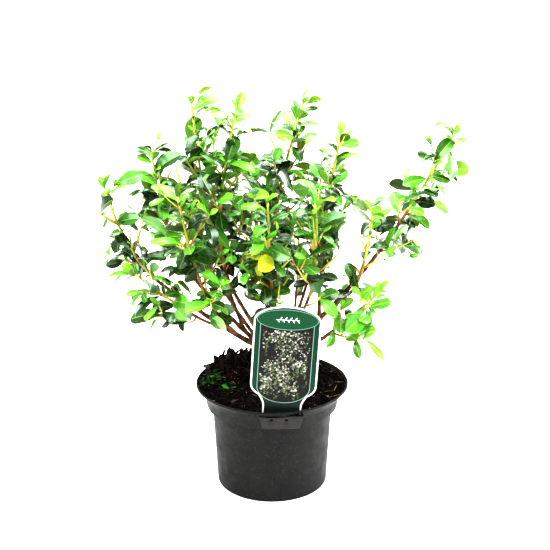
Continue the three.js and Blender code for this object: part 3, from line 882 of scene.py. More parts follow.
def leaf_materials():
    materials = []
    for index, (name, upper, under, rib, roughness) in enumerate(TONES):
        gloss = lerp(1, YOUNG_GLOSS, index / YELLOW)
        materials.append(leaf_finish("leaf_" + name, upper, roughness, gloss))
        materials.append(leaf_finish("leaf_under_" + name, under, roughness + UNDER_ROUGHER, gloss))
        materials.append(leaf_finish("leaf_rib_" + name, rib, roughness + RIB_ROUGHER, gloss))
    return materials


def tone_of(leaf, mass):
    """Young leaves at the tips and in buds are lighter; leaves low down and inside the crown are painted
    darker, as painted shade.
    """
    root = leaf["root"]
    across, level = [value[0] for value in seen_at(leaf["middle"][None])]
    if leaf["middle"][1] < YELLOW_BEFORE:
        for x, z, reach in YELLOW_SPOTS:
            if math.hypot(across - x, level - z) < reach:
                return YELLOW
    # Painted shade: leaves low in the crown and near its middle are painted darker
    light = PAINTED_LIGHT_UP * (root[2] - CROWN_FOOT) / CROWN_HEIGHT
    light += PAINTED_LIGHT_OUT * math.hypot(root[0], root[1] - CROWN_DEPTH) / CROWN_RADIUS
    light += LIGHTER_TIP * leaf["share"] ** 3 + LIGHTER_BY_CHANCE * (leaf["tone"] - 0.5) + LEAST_LIGHT
    light += YOUNG_SHOOTS.get(mass["name"], 0) + (LIGHTER_BUD if leaf["share"] == 1 else 0)
    return int(np.clip(light * YELLOW, 0, YELLOW - 1))


# Stems: tapering tubes

TUBE_SIDE = np.array([0.31, 0.95, 0.05])
STEM_SIDES = 8
LEADER_RINGS = 22
TWIG_RINGS = 8
STEM_ROUGHNESS = 0.06
LEADER_YOUTH = 0.12
TWIG_YOUTH = 0.3
HIGH_YOUTH = 0.2
LIMB_SIDES = 16
LIMB_RING_SPACING = 1.8
LIMB_SWELL = 0.5
SWELL_FADE = 20
TRUNK_RINGS = 24
TRUNK_RIBS = 5
RIB_DEPTH = 0.1
TRUNK_SHOULDER = 0.97
TRUNK_TOP_SHARE = 0.75

# The bark's relief: how fine each kind is, and how deep
LUMPS = (0.16, 0.4)
CRACKS = ((0.9, 0.9, 0.22), 0.3)
SCARS = (0.45, 1.1)
SCAR_START = 0.2


def tube(curve, radii, sides, steps, swell=0.0):
    """Points and faces of one closed tube along a curve, swollen where it sets out."""
    share = np.linspace(0, 1, steps + 1)
    centre = point_on(curve, share)
    tangent = np.array([heading_on(curve, value) for value in share])
    across = np.cross(TUBE_SIDE, tangent)
    across /= np.linalg.norm(across, axis=1)[:, None]
    third = np.cross(tangent, across)
    turn = np.arange(sides) * TURN / sides
    radius = lerp(radii[0], radii[1], share) * (1 + swell * np.exp(-SWELL_FADE * share))
    ring = (np.cos(turn)[None, :, None] * third[:, None] + np.sin(turn)[None, :, None] * across[:, None])
    points = centre[:, None] + ring * radius[:, None, None]
    return points.reshape(-1, 3), ring.reshape(-1, 3), grid_faces(steps + 1, sides, True)


def stem_piece(name, stems, materials, draw_numbers):
    """The stems of one mass, whose bark is younger towards their ends and up the crown."""
    shapes = Shapes()
    for stem in stems:
        leader = stem["height"] == 0
        steps = LEADER_RINGS if leader else TWIG_RINGS
        points, _, faces = tube(stem["curve"], stem["radii"], STEM_SIDES, steps)
        points += STEM_ROUGHNESS * draw_numbers.standard_normal(points.shape)
        youth = np.arange(len(faces)) // STEM_SIDES / steps + (LEADER_YOUTH if leader else TWIG_YOUTH)
        if stem["height"] > 0.5:
            youth += HIGH_YOUTH
        slots = np.clip((youth * len(materials)).astype(int), 0, len(materials) - 1)
        shapes.add(points, (faces, slots), (end_faces(steps + 1, STEM_SIDES), slots[[0, -1]]))
    return shapes.piece(name, materials)


def trunk_tube():
    """The trunk stands level on the compost, and its foot flares."""
    foot, top = np.array(TRUNK["foot"], dtype=float), np.array(TRUNK["top"], dtype=float)
    share = np.repeat(np.linspace(0, 1, TRUNK_RINGS + 1), LIMB_SIDES)
    turn = np.tile(np.arange(LIMB_SIDES) * TURN / LIMB_SIDES, TRUNK_RINGS + 1)
    ribs = 1 + RIB_DEPTH * (1 - share) ** 2 * np.sin(TRUNK_RIBS * turn)
    radius = (TRUNK["radius"] + (TRUNK["foot_radius"] - TRUNK["radius"]) * (1 - share) ** 3) * ribs
    radius *= np.where(share > TRUNK_SHOULDER, TRUNK_TOP_SHARE, 1)
    ring = np.column_stack([np.cos(turn), np.sin(turn), np.zeros(len(turn))])
    points = foot + (top - foot) * share[:, None] + ring * radius[:, None]
    return points, ring, grid_faces(TRUNK_RINGS + 1, LIMB_SIDES, True)


def relief_at(place):
    """Lengthwise fissures, low lumps and the scars of old leaves."""
    lumps = noise.noise(Vector(place * LUMPS[0]))
    cracks = noise.noise(Vector(place * CRACKS[0]))
    scars = max(0.0, noise.noise(Vector(place * SCARS[0] + 40)) - SCAR_START)
    return LUMPS[1] * lumps + CRACKS[1] * cracks + SCARS[1] * scars


def limb_piece(limbs, material):
    """Trunk and boughs as one skin with the bark's relief."""
    shapes = Shapes()
    for limb in limbs.values():
        if limb["name"] == "trunk":
            points, ring, faces = trunk_tube()
        else:
            steps = round(length_of(limb["curve"]) / LIMB_RING_SPACING)
            points, ring, faces = tube(limb["curve"], limb["radii"], LIMB_SIDES, steps, LIMB_SWELL)
        relief = np.array([relief_at(place) for place in points])
        relief[points[:, 2] < TRUNK["foot"][2] + 0.5] = 0
        ends = end_faces(len(points) // LIMB_SIDES, LIMB_SIDES)
        shapes.add(points + ring * relief[:, None], (faces, 0), (ends, 0))
    return shapes.piece("limbs", [material], sharp=60)


# Compost and what lies on it

LIP_WALL = 1.6
FLARE_STEP = 0.6
SOIL_RINGS = 46
SOIL_SIDES = 200
SOIL_REACH = 0.985
SEAT_RADIUS = 11
SEAT_EDGE = 6
NECK_DIP = 5.0
CRUMB_GRAIN = 0.35
CRUMB_RELIEF = 1.1
FINE_SHARE = 0.7
BARE_ROUND_TRUNK = 13
CRUMB_SIZES = [(1.6, 4.8), (1.6, 4.2), (1.2, 3.4)]
CHIP_SIZES = [(5, 15), (2.4, 6), (1.0, 2.4)]
TUFT_SIZES = [(0.9, 1.9), (0.9, 1.9), (1.6, 4.2)]
STRAW_SIZES = [(7, 17), (0.5, 0.8), (0.4, 0.6)]
BLADE_LENGTHS = (5, 11)
FALLEN_LENGTHS = (13, 22)
LYING_BEND = 0.4
HEAP_PLACES = [(-46, 42), (-30, 56), (-58, 24), (-62, 34), (-40, 30), (-52, 50)]
MOSS_PLACES = [(-70, -4), (-62, 4), (-66, -8), (-46, -24), (-75, -16)]
HEAP_SPREAD = 11
MOSS_SPREAD = 5
PLACES_WITHIN = 76

EARTH = [("crumb_black", (9, 7, 6)), ("crumb_brown", (20, 14, 10)), ("crumb_light", (42, 29, 19))]
CHIPS = [
    ("chip_dark", (22, 14, 10)), ("chip_brown", (40, 29, 20)), ("chip_tan", (88, 64, 40)),
    ("chip_red", (44, 25, 19)),
]
GREENS = [("moss_dark", (12, 44, 14)), ("moss_mid", (26, 84, 20)), ("moss_light", (60, 124, 32))]
STRAW = [("straw", (160, 128, 84))]
FALLEN = [
    ("fallen_yellow", (150, 124, 44)), ("fallen_brown", (70, 44, 24)), ("fallen_dark", (34, 24, 16)),
]


def heap_at(angle):
    return np.maximum(0, np.cos(angle - HEAP_DIRECTION)) ** 1.5


def flare_radius(height):
    share = (height - COLLAR_TOP - 1) / (POT_HEIGHT - COLLAR_TOP - 1)
    return lerp(COLLAR_RADIUS + FLARE_STEP - POT_WALL, LIP_RADIUS - LIP_WALL, share)


def soil_top(share, angle):
    edge_height = SOIL_EDGE_HEIGHT + HEAP_EDGE_RISE * heap_at(angle)
    radius = share * (flare_radius(edge_height) - SOIL_GAP)
    dome = lerp(SOIL_CROWN_HEIGHT, edge_height, share ** 2)
    clods = np.sin(3 * angle + 9 * share) * np.sin(2 * angle + 7 * share)
    rough = HEAP_HEIGHT * heap_at(angle) + CLOD_HEIGHT * clods
    return radius, dome + rough * share * (1 - share ** 8)


def soil_height(x, y):
    """The compost's height under a place, by halving the share between its middle and edge."""
    angle = math.atan2(y, x)
    radius = math.hypot(x, y)
    low, high = 0.0, 1.0
    for _ in range(18):
        middle = (low + high) / 2
        if soil_top(middle, angle)[0] < radius:
            low = middle
        else:
            high = middle
    return float(soil_top(low, angle)[1])


def soil_piece(material):
    angle = np.tile(np.arange(SOIL_SIDES) * TURN / SOIL_SIDES, SOIL_RINGS)
    share = np.repeat(np.linspace(1, 0.01, SOIL_RINGS), SOIL_SIDES)
    radius, height = soil_top(share, angle)
    x, y = radius * np.cos(angle), radius * np.sin(angle)
    coarse = [noise.noise(Vector(place)) for place in zip(x * CRUMB_GRAIN, y * CRUMB_GRAIN, 0 * x)]
    fine = [noise.noise(Vector(place)) for place in zip(x, y, 0 * x + 5)]
    crumbs = np.array(coarse) + FINE_SHARE * np.array(fine)
    seat = np.hypot(x - TRUNK["foot"][0], y - TRUNK["foot"][1])
    settle = np.clip((seat - SEAT_RADIUS) / SEAT_EDGE, 0, 1)
    neck = (np.abs(x - HOLDER_CENTRE) < SLOT_WIDTH / 2 + 1) & (y < 2 - LABEL_PLANE)
    height = height + (CRUMB_RELIEF * crumbs - 0.5) * settle * (1 - share ** 8)
    height = height - np.where(neck, NECK_DIP, 0.0)
    height = np.where(seat < SEAT_RADIUS, np.minimum(height, TRUNK["foot"][2] + 0.2), height)
    inner = POT_WALL + SOIL_GAP
    wall = [
        (BASE_RADIUS - inner, POT_FLOOR + SOIL_GAP),
        (BODY_TOP_RADIUS - inner, COLLAR_BOTTOM),
        (BODY_TOP_RADIUS - inner, COLLAR_BOTTOM + inner),
        (COLLAR_RADIUS - inner, COLLAR_BOTTOM + inner + 0.5),
        (COLLAR_RADIUS - inner, COLLAR_TOP),
    ]
    points = np.concatenate([lathe_points(wall, SOIL_SIDES), np.column_stack([x, y, height])])
    return rings_piece("soil_bed", points, SOIL_SIDES, material, sharp=60)


def soil_place(draw_numbers):
    """A place on the compost, clear of the trunk and the label."""
    while True:
        angle = TURN * draw_numbers.random()
        share = math.sqrt(draw_numbers.random()) * SOIL_REACH
        radius, height = soil_top(share, angle)
        x, y = radius * math.cos(angle), radius * math.sin(angle)
        if math.hypot(x - TRUNK["foot"][0], y - TRUNK["foot"][1]) < BARE_ROUND_TRUNK:
            continue
        if abs(x - HOLDER_CENTRE) < SLOT_WIDTH / 2 + 4 and y < 7 - LABEL_PLANE:
            continue
        return x, y, float(height)


def scattered(name, count, template, sizes, materials, weights, seed, lift, where=soil_place, tilt=0.6):
    """Copies of one small closed shape laid on the compost, each turned, tipped and sized."""
    draw_numbers = np.random.default_rng(seed)
    shape, faces = template
    shapes = Shapes()
    for _ in range(count):
        x, y, height = where(draw_numbers)
        yaw = TURN * draw_numbers.random()
        roll, pitch = tilt * draw_numbers.standard_normal(2)
        size = np.array([lerp(low, high, draw_numbers.random()) for low, high in sizes])
        rough = shape * size * (1 + 0.16 * draw_numbers.standard_normal(shape.shape))
        placed = rough @ np.array(Euler((roll, pitch, yaw)).to_matrix()).T
        placed += (x, y, height - placed[:, 2].min() * lift)
        shapes.add(placed, (faces, draw_numbers.choice(len(materials), p=weights)))
    return shapes.piece(name, materials, sharp=40)


def halved(quads):
    return np.concatenate([quads[:, [0, 1, 2]], quads[:, [0, 2, 3]]])


def ball_template(rings=4, sides=7):
    """A coarse closed ball, one unit across."""
    lift = np.linspace(-0.46, 0.46, rings)
    radius = np.sqrt(0.25 - lift ** 2 * 0.98)
    points = np.concatenate([lathe_points(zip(radius, lift), sides), [[0, 0, -0.5], [0, 0, 0.5]]])
    first = np.arange(sides)
    after = (first + 1) % sides
    last = (rings - 1) * sides
    low = np.stack([after, first, np.full(sides, rings * sides)], axis=-1)
    high = np.stack([first + last, after + last, np.full(sides, rings * sides + 1)], axis=-1)
    return points, np.concatenate([halved(grid_faces(rings, sides, True)), low, high])


def chip_template(steps=5, sides=6):
    """A chip of bark: a flat block with more cuts along it, so that noise breaks its outline."""
    share = np.linspace(-0.5, 0.5, steps)
    turn = np.arange(sides) * TURN / sides
    pull = np.sqrt(np.clip(1 - (share * 1.7) ** 2, 0.12, 1))
    rings = [np.column_stack([np.full(sides, x), np.cos(turn) * 0.5 * p, np.sin(turn) * 0.5 * p])
             for x, p in zip(share, pull)]
    fans = []
    for ring in end_faces(steps, sides):
        fans.append(np.stack([np.full(sides - 2, ring[0]), ring[1:-1], ring[2:]], axis=-1))
    faces = np.concatenate([halved(grid_faces(steps, sides, True)), *fans])[:, ::-1]
    return np.concatenate(rings), faces


def near(places, spread):
    """Puts things about some places on the compost."""
    def where(draw_numbers):
        while True:
            cx, cy = places[draw_numbers.integers(len(places))]
            x, y = cx + draw_numbers.normal(0, spread), cy + draw_numbers.normal(0, spread)
            if math.hypot(x, y) < PLACES_WITHIN:
                return x, y, soil_height(x, y)
    return where


def soil_bits():
    """Crumbs, bark chips, moss, straw and fallen leaves that lie on the compost."""
    earth = finishes(EARTH, 0.95, grain=400, bump=0.6, depth=0.0006, Specular_IOR_Level=0.12)
    chips = finishes(CHIPS, 0.85, grain=300, bump=0.6, depth=0.0006, Specular_IOR_Level=0.15)
    greens = finishes(GREENS, 0.8, grain=300, bump=0.5, depth=0.0005, Specular_IOR_Level=0.2)
    straw = finishes(STRAW, 0.7, grain=300, bump=0.3, depth=0.0004)
    fallen = finishes(FALLEN, 0.7, grain=260, bump=0.3, depth=0.0004, Specular_IOR_Level=0.2)
    ball, tuft, chip = ball_template(), ball_template(3, 5), chip_template()
    heap, moss = near(HEAP_PLACES, HEAP_SPREAD), near(MOSS_PLACES, MOSS_SPREAD)
    return [
        scattered("soil_crumbs", 1900, ball, CRUMB_SIZES, earth, (0.6, 0.28, 0.12), 31, 0.6),
        scattered("bark_chips", 150, chip, CHIP_SIZES, chips, (0.52, 0.32, 0.04, 0.12), 32, 0.8),
        scattered("heap_chips", 130, chip, CHIP_SIZES, chips, (0.6, 0.3, 0.04, 0.06), 33, 0.9, heap, 0.8),
        scattered("moss", 320, tuft, TUFT_SIZES, greens, (0.45, 0.4, 0.15), 34, 0.5, moss),
        lying_leaves("moss_blades", 60, moss, BLADE_LENGTHS, 0.55, greens, 37),
        scattered("straw", 70, chip, STRAW_SIZES, straw, (1,), 35, 0.9, tilt=0.2),
        lying_leaves("fallen_leaves", 9, soil_place, FALLEN_LENGTHS, 0.25, fallen, 36),
    ]


def lying_leaves(name, count, where, lengths, tilt, colours, seed):
    """Small leaves on the compost, each tipped up a little."""
    draw_numbers = np.random.default_rng(seed)
    leaves = []
    for _ in range(count):
        x, y, height = where(draw_numbers)
        turn = TURN * draw_numbers.random()
        tip_up, roll = tilt * draw_numbers.standard_normal(2)
        direction = unit(np.array([math.cos(turn), math.sin(turn), abs(tip_up)]))
        side = unit(np.cross(UP, direction) + UP * roll)
        normal = np.cross(direction, side)
        length = lerp(*lengths, draw_numbers.random())
        root = np.array([x, y, height + 0.15 * length])
        leaves.append({"root": root, "direction": direction, "side": side, "normal": normal,
                       "length": length, "bend": LYING_BEND})
    points, faces, kinds = blades(leaves, draw_numbers)
    tones = np.arange(len(leaves)) % len(colours)
    return mesh_piece(name, points, [(faces, np.repeat(tones, len(kinds)))], colours, sharp=50)


# Pot

AXIS = 0.01
HOLDER_CORNER = 4.0
HOLDER_BEVEL = 0.9
RIB_PLACES = (-11.4, -8.2, 4.6, 6.6)
RIB_HALF_WIDTH = 0.4
HOLE_PLACES = (-10, 6)
HOLE_HALF_WIDTH = 1.5


def pot_profile():
    """The wall's outline from the underside's middle, up the outside and down the inside."""
    lip_inside = LIP_RADIUS - LIP_WALL
    flare_foot = COLLAR_RADIUS + FLARE_STEP
    return [
        (AXIS, 0), (BASE_RADIUS - 6, 0), (BASE_RADIUS - 1, 0), (BASE_RADIUS - 0.3, 0.3),
        (BASE_RADIUS, 1), (BASE_RADIUS + 0.05, 2), (lerp(BASE_RADIUS, BODY_TOP_RADIUS, 0.5), 47),
        (BODY_TOP_RADIUS - 0.05, COLLAR_BOTTOM - 1), (BODY_TOP_RADIUS, COLLAR_BOTTOM),
        (COLLAR_RADIUS - 0.6, COLLAR_BOTTOM), (COLLAR_RADIUS - 0.15, COLLAR_BOTTOM + 0.25),
        (COLLAR_RADIUS, COLLAR_BOTTOM + 0.8), (COLLAR_RADIUS + 0.55, COLLAR_TOP - 0.6),
        (flare_foot + 0.3, COLLAR_TOP + 0.3), (lip_inside, POT_HEIGHT - 2.6),
        (LIP_RADIUS - 0.6, POT_HEIGHT - 2.0), (LIP_RADIUS, POT_HEIGHT - 1.4),
        (LIP_RADIUS, POT_HEIGHT - 0.7), (LIP_RADIUS - 0.25, POT_HEIGHT - 0.15),
        (LIP_RADIUS - 0.7, POT_HEIGHT), (lip_inside + 0.3, POT_HEIGHT),
        (lip_inside, POT_HEIGHT - 0.4), (flare_foot - POT_WALL, COLLAR_TOP + 1),
        (COLLAR_RADIUS - POT_WALL, COLLAR_BOTTOM + POT_WALL),
        (BODY_TOP_RADIUS - POT_WALL, COLLAR_BOTTOM + POT_WALL),
        (BASE_RADIUS - POT_WALL, POT_FLOOR + 1), (BASE_RADIUS - POT_WALL - 1, POT_FLOOR),
        (AXIS, POT_FLOOR),
    ]


def holder_outline():
    """The pocket's front: a trapezium with rounded lower corners."""
    middle = (HOLDER_BOTTOM_WIDTH / 2 + 0.6 - HOLDER_CORNER, HOLDER_BOTTOM + HOLDER_CORNER)
    right = [(middle[0] + HOLDER_CORNER * math.cos(angle), middle[1] + HOLDER_CORNER * math.sin(angle))
             for angle in np.radians(np.linspace(-90, -11, 7))]
    right.append((HOLDER_TOP_WIDTH / 2, HOLDER_TOP))
    left = [(-x, z) for x, z in right[::-1]]
    return [(HOLDER_CENTRE + x, z) for x, z in right + left]


def holder_box(name, middle, half_width, depths, heights, material):
    """A box across the holder's middle, between two depths and two heights."""
    left, right = HOLDER_CENTRE + middle - half_width, HOLDER_CENTRE + middle + half_width
    low, high = heights
    outline = [(left, low), (right, low), (right, high), (left, high)]
    return prism(name, outline, depths[1], depths[0], material)


def holder_piece(material):
    """The pocket on the collar, with ribs and two small holes in its front."""
    block = prism("block", holder_outline(), 4 - COLLAR_RADIUS, 0.5 - HOLDER_FRONT, material)
    bevel = block.modifiers.new("bevel", "BEVEL")
    bevel.width = HOLDER_BEVEL * MM
    bevel.segments = 2
    bevel.limit_method = "ANGLE"
    bevel.angle_limit = math.radians(50)
    applied(block)
    for place in RIB_PLACES:
        cut(block, holder_box("rib", place, RIB_HALF_WIDTH, (-HOLDER_FRONT, 1 - HOLDER_FRONT),
                              (HOLDER_BOTTOM + 2.4, HOLDER_TOP - 6.5), material), "UNION")
    for place in HOLE_PLACES:
        cut(block, holder_box("hole", place, HOLE_HALF_WIDTH, (-HOLDER_FRONT - 1, 2.6 - HOLDER_FRONT),
                              (HOLDER_TOP - 5.4, HOLDER_TOP - 3.4), material), "DIFFERENCE")
    middle_wall = COLLAR_RADIUS - POT_WALL / 2
    inside = [(AXIS, 40), (middle_wall, 40), (middle_wall, COLLAR_TOP + 1),
              (LIP_RADIUS - POT_WALL, POT_HEIGHT), (AXIS, POT_HEIGHT + 0.2)]
    cut(block, turned_piece("inside", inside, POT_SIDES, material), "DIFFERENCE")
    return block


def pot_piece(material, holder_front_finish):
    """The pot with its holder, slot and drain holes, and a lighter finish on the holder's front."""
    pot = turned_piece("pot_shell", pot_profile(), POT_SIDES, material)
    cut(pot, holder_piece(material), "UNION")
    slot_depths = (-LABEL_PLANE - SLOT_GAP / 2, -LABEL_PLANE + SLOT_GAP / 2)
    cut(pot, holder_box("slot_space", 0, SLOT_WIDTH / 2, slot_depths,
                        (SLOT_BOTTOM, POT_HEIGHT + 5), material), "DIFFERENCE")
    for angle in np.arange(DRAIN_HOLES) * TURN / DRAIN_HOLES:
        drill = turned_piece("drill", [(DRAIN_RADIUS, -5), (DRAIN_RADIUS, 8)], 32, material)
        place = Vector((math.cos(angle), math.sin(angle), 0)) * DRAIN_CIRCLE * MM
        drill.data.transform(Matrix.Translation(place))
        cut(pot, drill, "DIFFERENCE")
    pot.data.polygons.foreach_set("use_smooth", np.ones(len(pot.data.polygons), dtype=bool))
    pot.data.set_sharp_from_angle(angle=math.radians(32))
    pot.data.materials.append(holder_front_finish)
    for face in pot.data.polygons:
        x, y, z = np.array(face.center) / MM
        on_front = y < 1 - HOLDER_FRONT and abs(x - HOLDER_CENTRE) < HOLDER_TOP_WIDTH / 2
        if on_front and HOLDER_BOTTOM - 1 < z < HOLDER_TOP and abs(face.normal.z) < 0.9:
            face.material_index = 1
    return pot


# Label: layers of thin plates, each a little further forward

OUTLINE_STEPS = 8
PANEL_HALF = 27.3
PANEL_FOOT = 38.4
PANEL_SAG = 17.2
PANEL_TOP = 112.5
OVAL_HEIGHT = 113.9
OVAL_HALF_WIDTH = 31.2
OVAL_HALF_HEIGHT = 10.5
KEYLINE_WIDTH = 0.7
EDGE_SHADE_WIDTH = 0.6
BORDER = 2.35
NECK_SHADE_TOP = 33.5
PRINT_DEPTHS = 400
PICTURE_MARGIN = 2.2
PICTURE_TOP = 102
SPRAYS = 44
LEAVES_ON_SPRAY = 16
BLOSSOMS_ON_SPRAY = 16
BLOSSOM_SPREAD = 3.6
PETALS = 5
HEAD_LEAVES = 9
HEAD_LEAF_STEP = 2.6

LABEL_COLOURS = [
    ("label_white", (228, 232, 230)),
    ("label_edge_shade", (44, 50, 48)),
    ("label_green", (13, 56, 40)),
    ("label_neck_shade", (27, 40, 36)),
    ("label_oval", (18, 72, 46)),
    ("label_keyline", (118, 152, 134)),
    ("label_panel", (26, 27, 25)),
    ("label_petal", (178, 175, 168)),
    ("label_petal_shade", (118, 118, 102)),
    ("label_leaf", (86, 98, 64)),
    ("label_leaf_dark", (46, 56, 42)),
]
(WHITE, EDGE_SHADE, GREEN, NECK_PAINTED_SHADE, OVAL, KEYLINE, PANEL,
 PETAL, PETAL_SHADE, SPRIG, SPRIG_DARK) = range(len(LABEL_COLOURS))


def plate_outline():
    """The plate's outline drawn upright, with the neck's foot at its origin."""
    half = LABEL_WIDTH / 2
    neck = LABEL_NECK_WIDTH / 2
    head = LABEL_TOP - LABEL_ARCH - LABEL_FOOT
    neck_top = LABEL_NECK_TOP - LABEL_FOOT
    shoulder = LABEL_SHOULDER - LABEL_FOOT
    bend = (neck + LABEL_FILLET, neck_top + LABEL_FILLET_RISE)
    right = [(neck, 0), (neck, neck_top)]
    right += bent((neck, neck_top), (neck, neck_top + LABEL_FILLET), bend)
    right += bent(bend, (half, shoulder - LABEL_SHOULDER_RISE), (half, shoulder))
    right += [(half, head)]
    top = [(half * math.cos(angle), head + LABEL_ARCH * math.sin(angle))
           for angle in np.linspace(0, math.pi, 41)[1:-1]]
    left = [(-x, z) for x, z in right[::-1]]
    return np.array(right + top + left)


def label_outline(inset):
    """The plate's outline with each point moved inwards, square to its edges, but not at its foot."""
    outline = plate_outline()
    before = outline - np.roll(outline, 1, axis=0)
    after = np.roll(outline, -1, axis=0) - outline
    before /= np.linalg.norm(before, axis=1)[:, None]
    after /= np.linalg.norm(after, axis=1)[:, None]
    along = before + after
    along /= np.linalg.norm(along, axis=1)[:, None]
    corner = (along * after).sum(axis=1)
    moved = outline + np.column_stack([-along[:, 1], along[:, 0]]) * (inset / corner)[:, None]
    foot = outline[:, 1] == 0
    moved[foot] = np.column_stack([outline[foot, 0] - inset * np.sign(outline[foot, 0]), np.zeros(2)])
    return moved


def label_foot(inset):
    """The part of the inner outline below the shoulders, where the neck is painted darker as painted
    shade.
    """
    outline = label_outline(inset)
    return outline[outline[:, 1] < NECK_SHADE_TOP]


def bent(start, middle, end):
    curve = tuple(np.array(point, dtype=float) for point in (start, middle, end))
    return [tuple(point) for point in point_on(curve, np.linspace(0, 1, OUTLINE_STEPS + 1)[1:])]


def panel_outline(grow):
    half = PANEL_HALF + grow
    arc = [(half * math.cos(angle), PANEL_FOOT + (PANEL_SAG + grow) * math.sin(angle))
           for angle in np.linspace(-math.pi, 0, 33)]
    return arc + [(half, PANEL_TOP), (-half, PANEL_TOP)]


def oval_outline(centre, half_width, half_height, sides=56, turn=0.0):
    angle = np.arange(sides) * TURN / sides
    x, z = half_width * np.cos(angle), half_height * np.sin(angle)
    return np.column_stack([centre[0] + x * math.cos(turn) - z * math.sin(turn),
                            centre[1] + x * math.sin(turn) + z * math.cos(turn)])


def in_panel(x, z):
    half = PANEL_HALF - PICTURE_MARGIN
    if abs(x) > half or z > PICTURE_TOP:
        return False
    return z > PANEL_FOOT - (PANEL_SAG - PICTURE_MARGIN) * math.sqrt(1 - (x / half) ** 2)


def label_picture():
    """A generic pattern of flowering branches: leafy arcs that end in clusters of blossom."""
    draw_numbers = np.random.default_rng(7)
    chance = draw_numbers.uniform
    shapes = []
    for _ in range(SPRAYS):
        foot = np.array([chance(-26, 26), chance(14, 90)])
        reach = np.array([chance(-12, 12), chance(12, 22)])
        middle = foot + reach / 2 + (chance(-4, 4), 0)
        for share in np.linspace(0, 0.95, LEAVES_ON_SPRAY):
            x, z = point_on((foot, middle, foot + reach), share)
            turn = math.atan2(reach[1], reach[0]) + draw_numbers.choice((-1, 1)) * chance(0.5, 1.1)
            size = chance(0.9, 1.9)
            tone = SPRIG if draw_numbers.random() < 0.5 else SPRIG_DARK
            leaf = (x + size * math.cos(turn), z + size * math.sin(turn))
            if in_panel(*leaf):
                shapes.append((oval_outline(leaf, size, 0.38 * size, 8, turn), tone))
        for _ in range(BLOSSOMS_ON_SPRAY):
            x, z = foot + reach + draw_numbers.normal(0, BLOSSOM_SPREAD, 2)
            radius = chance(0.3, 0.72)
            if in_panel(x, z):
                shapes += blossom(x, z, radius, draw_numbers)
    return shapes


def blossom(x, z, radius, draw_numbers):
    """Petals about a middle."""
    first = TURN * draw_numbers.random()
    tone = PETAL if draw_numbers.random() < 0.5 else PETAL_SHADE
    petals = []
    for turn in first + np.arange(PETALS) * TURN / PETALS:
        middle = (x + radius * math.cos(turn), z + radius * math.sin(turn))
        petals.append((oval_outline(middle, radius * 0.8, radius * 0.5, 7, turn), tone))
    return petals


def head_sprig():
    """A small generic leaf sprig on the label's oval head."""
    shapes = [(np.array([(-12, -0.6), (12, -0.3), (12, 0.3), (-12, 0)]) + (0, OVAL_HEIGHT), WHITE)]
    for k in range(HEAD_LEAVES):
        x = -10.5 + HEAD_LEAF_STEP * k
        turn = math.radians(52 if k % 2 else -52)
        middle = (x + 1.4 * math.cos(turn), OVAL_HEIGHT + 1.8 * math.sin(turn))
        shapes.append((oval_outline(middle, 1.9, 0.65, 14, turn), WHITE))
    return shapes


def label_layers():
    """Each layer's outline, back, front and colour. Where two overlap, their fronts differ in depth."""
    front = -LABEL_THICKNESS / 2
    oval = (0, OVAL_HEIGHT)
    keyline = oval_outline(oval, OVAL_HALF_WIDTH + KEYLINE_WIDTH, OVAL_HALF_HEIGHT + KEYLINE_WIDTH)
    layers = [
        (label_outline(0), LABEL_THICKNESS / 2, 0.05, WHITE),
        # A thin dark rim about the white border: painted shade along the plate's edge
        (label_outline(0), 0.05, front + 0.34, EDGE_SHADE),
        (label_outline(EDGE_SHADE_WIDTH), 0, front + 0.32, WHITE),
        (label_outline(BORDER), 0, front + 0.3, GREEN),
        # Painted shade: the neck below the shoulders is a darker green
        (label_foot(BORDER), 0, front + 0.28, NECK_PAINTED_SHADE),
        (panel_outline(0.8), 0, front + 0.26, KEYLINE),
        (panel_outline(0), 0, front + 0.24, PANEL),
    ]
    for k, (shape, tone) in enumerate(label_picture()):
        layers.append((shape, -0.05, front + 0.21 - 0.12 * (k % PRINT_DEPTHS) / PRINT_DEPTHS, tone))
    layers.append((keyline, -0.05, front + 0.07, KEYLINE))
    layers.append((oval_outline(oval, OVAL_HALF_WIDTH, OVAL_HALF_HEIGHT), -0.05, front + 0.05, OVAL))
    for k, (shape, tone) in enumerate(head_sprig()):
        layers.append((shape, -0.05, front + 0.03 - 0.003 * k, tone))
    return layers


def label_piece(materials):
    """All layers as one mesh, tilted about the label's foot in the holder."""
    cos, sin = math.cos(LABEL_TILT), math.sin(LABEL_TILT)
    shapes = Shapes()
    for outline, back, front, tone in label_layers():
        points, sides, ends = plate(outline, back, front)
        x, y, z = points.T
        placed = np.column_stack([HOLDER_CENTRE + x * cos + z * sin, y - LABEL_PLANE,
                                  LABEL_FOOT + z * cos - x * sin])
        shapes.add(placed, (sides, tone), (ends, tone))
    return shapes.piece("label_plate", materials, sharp=30)


# Stage, light and camera

FLOOR_REACH = 15000
FLOOR_DEPTH = -0.05
WORLD_STRENGTH = 0.78
EXPOSURE = 0.5
GAMMA = 0.72

# Place and aim in metres, size in metres, power in watts
LIGHTS = {
    "key": ((-0.9, -0.7, 1.5), (0, 0, 0.3), (1.3, 1.3), 48),
    "top": ((0.2, 0.2, 1.7), (0, 0, 0.3), (1.4, 1.4), 44),
    "back": ((0.1, 1.6, 1.1), (0, 0, 0.3), (2.4, 1.1), 34),
    "right": ((1.3, 0.1, 0.8), (0, 0, 0.2), (0.4, 1.0), 28),
}


def stage():
    corners = [(-1, -1), (1, -1), (1, 1), (-1, 1)]
    points = [(x * FLOOR_REACH, y * FLOOR_REACH, FLOOR_DEPTH) for x, y in corners]
    white = finish("floor_white", (246, 246, 246), 0.9, spread=0.02, bump=0.0)
    floor = mesh_piece("floor", points, [(np.arange(4)[None], 0)], [white])
    world = bpy.data.worlds.new("studio")
    world.use_nodes = True
    back = world.node_tree.nodes["Background"]
    back.inputs["Color"].default_value = (1, 1, 1, 1)
    back.inputs["Strength"].default_value = WORLD_STRENGTH
    bpy.context.scene.world = world


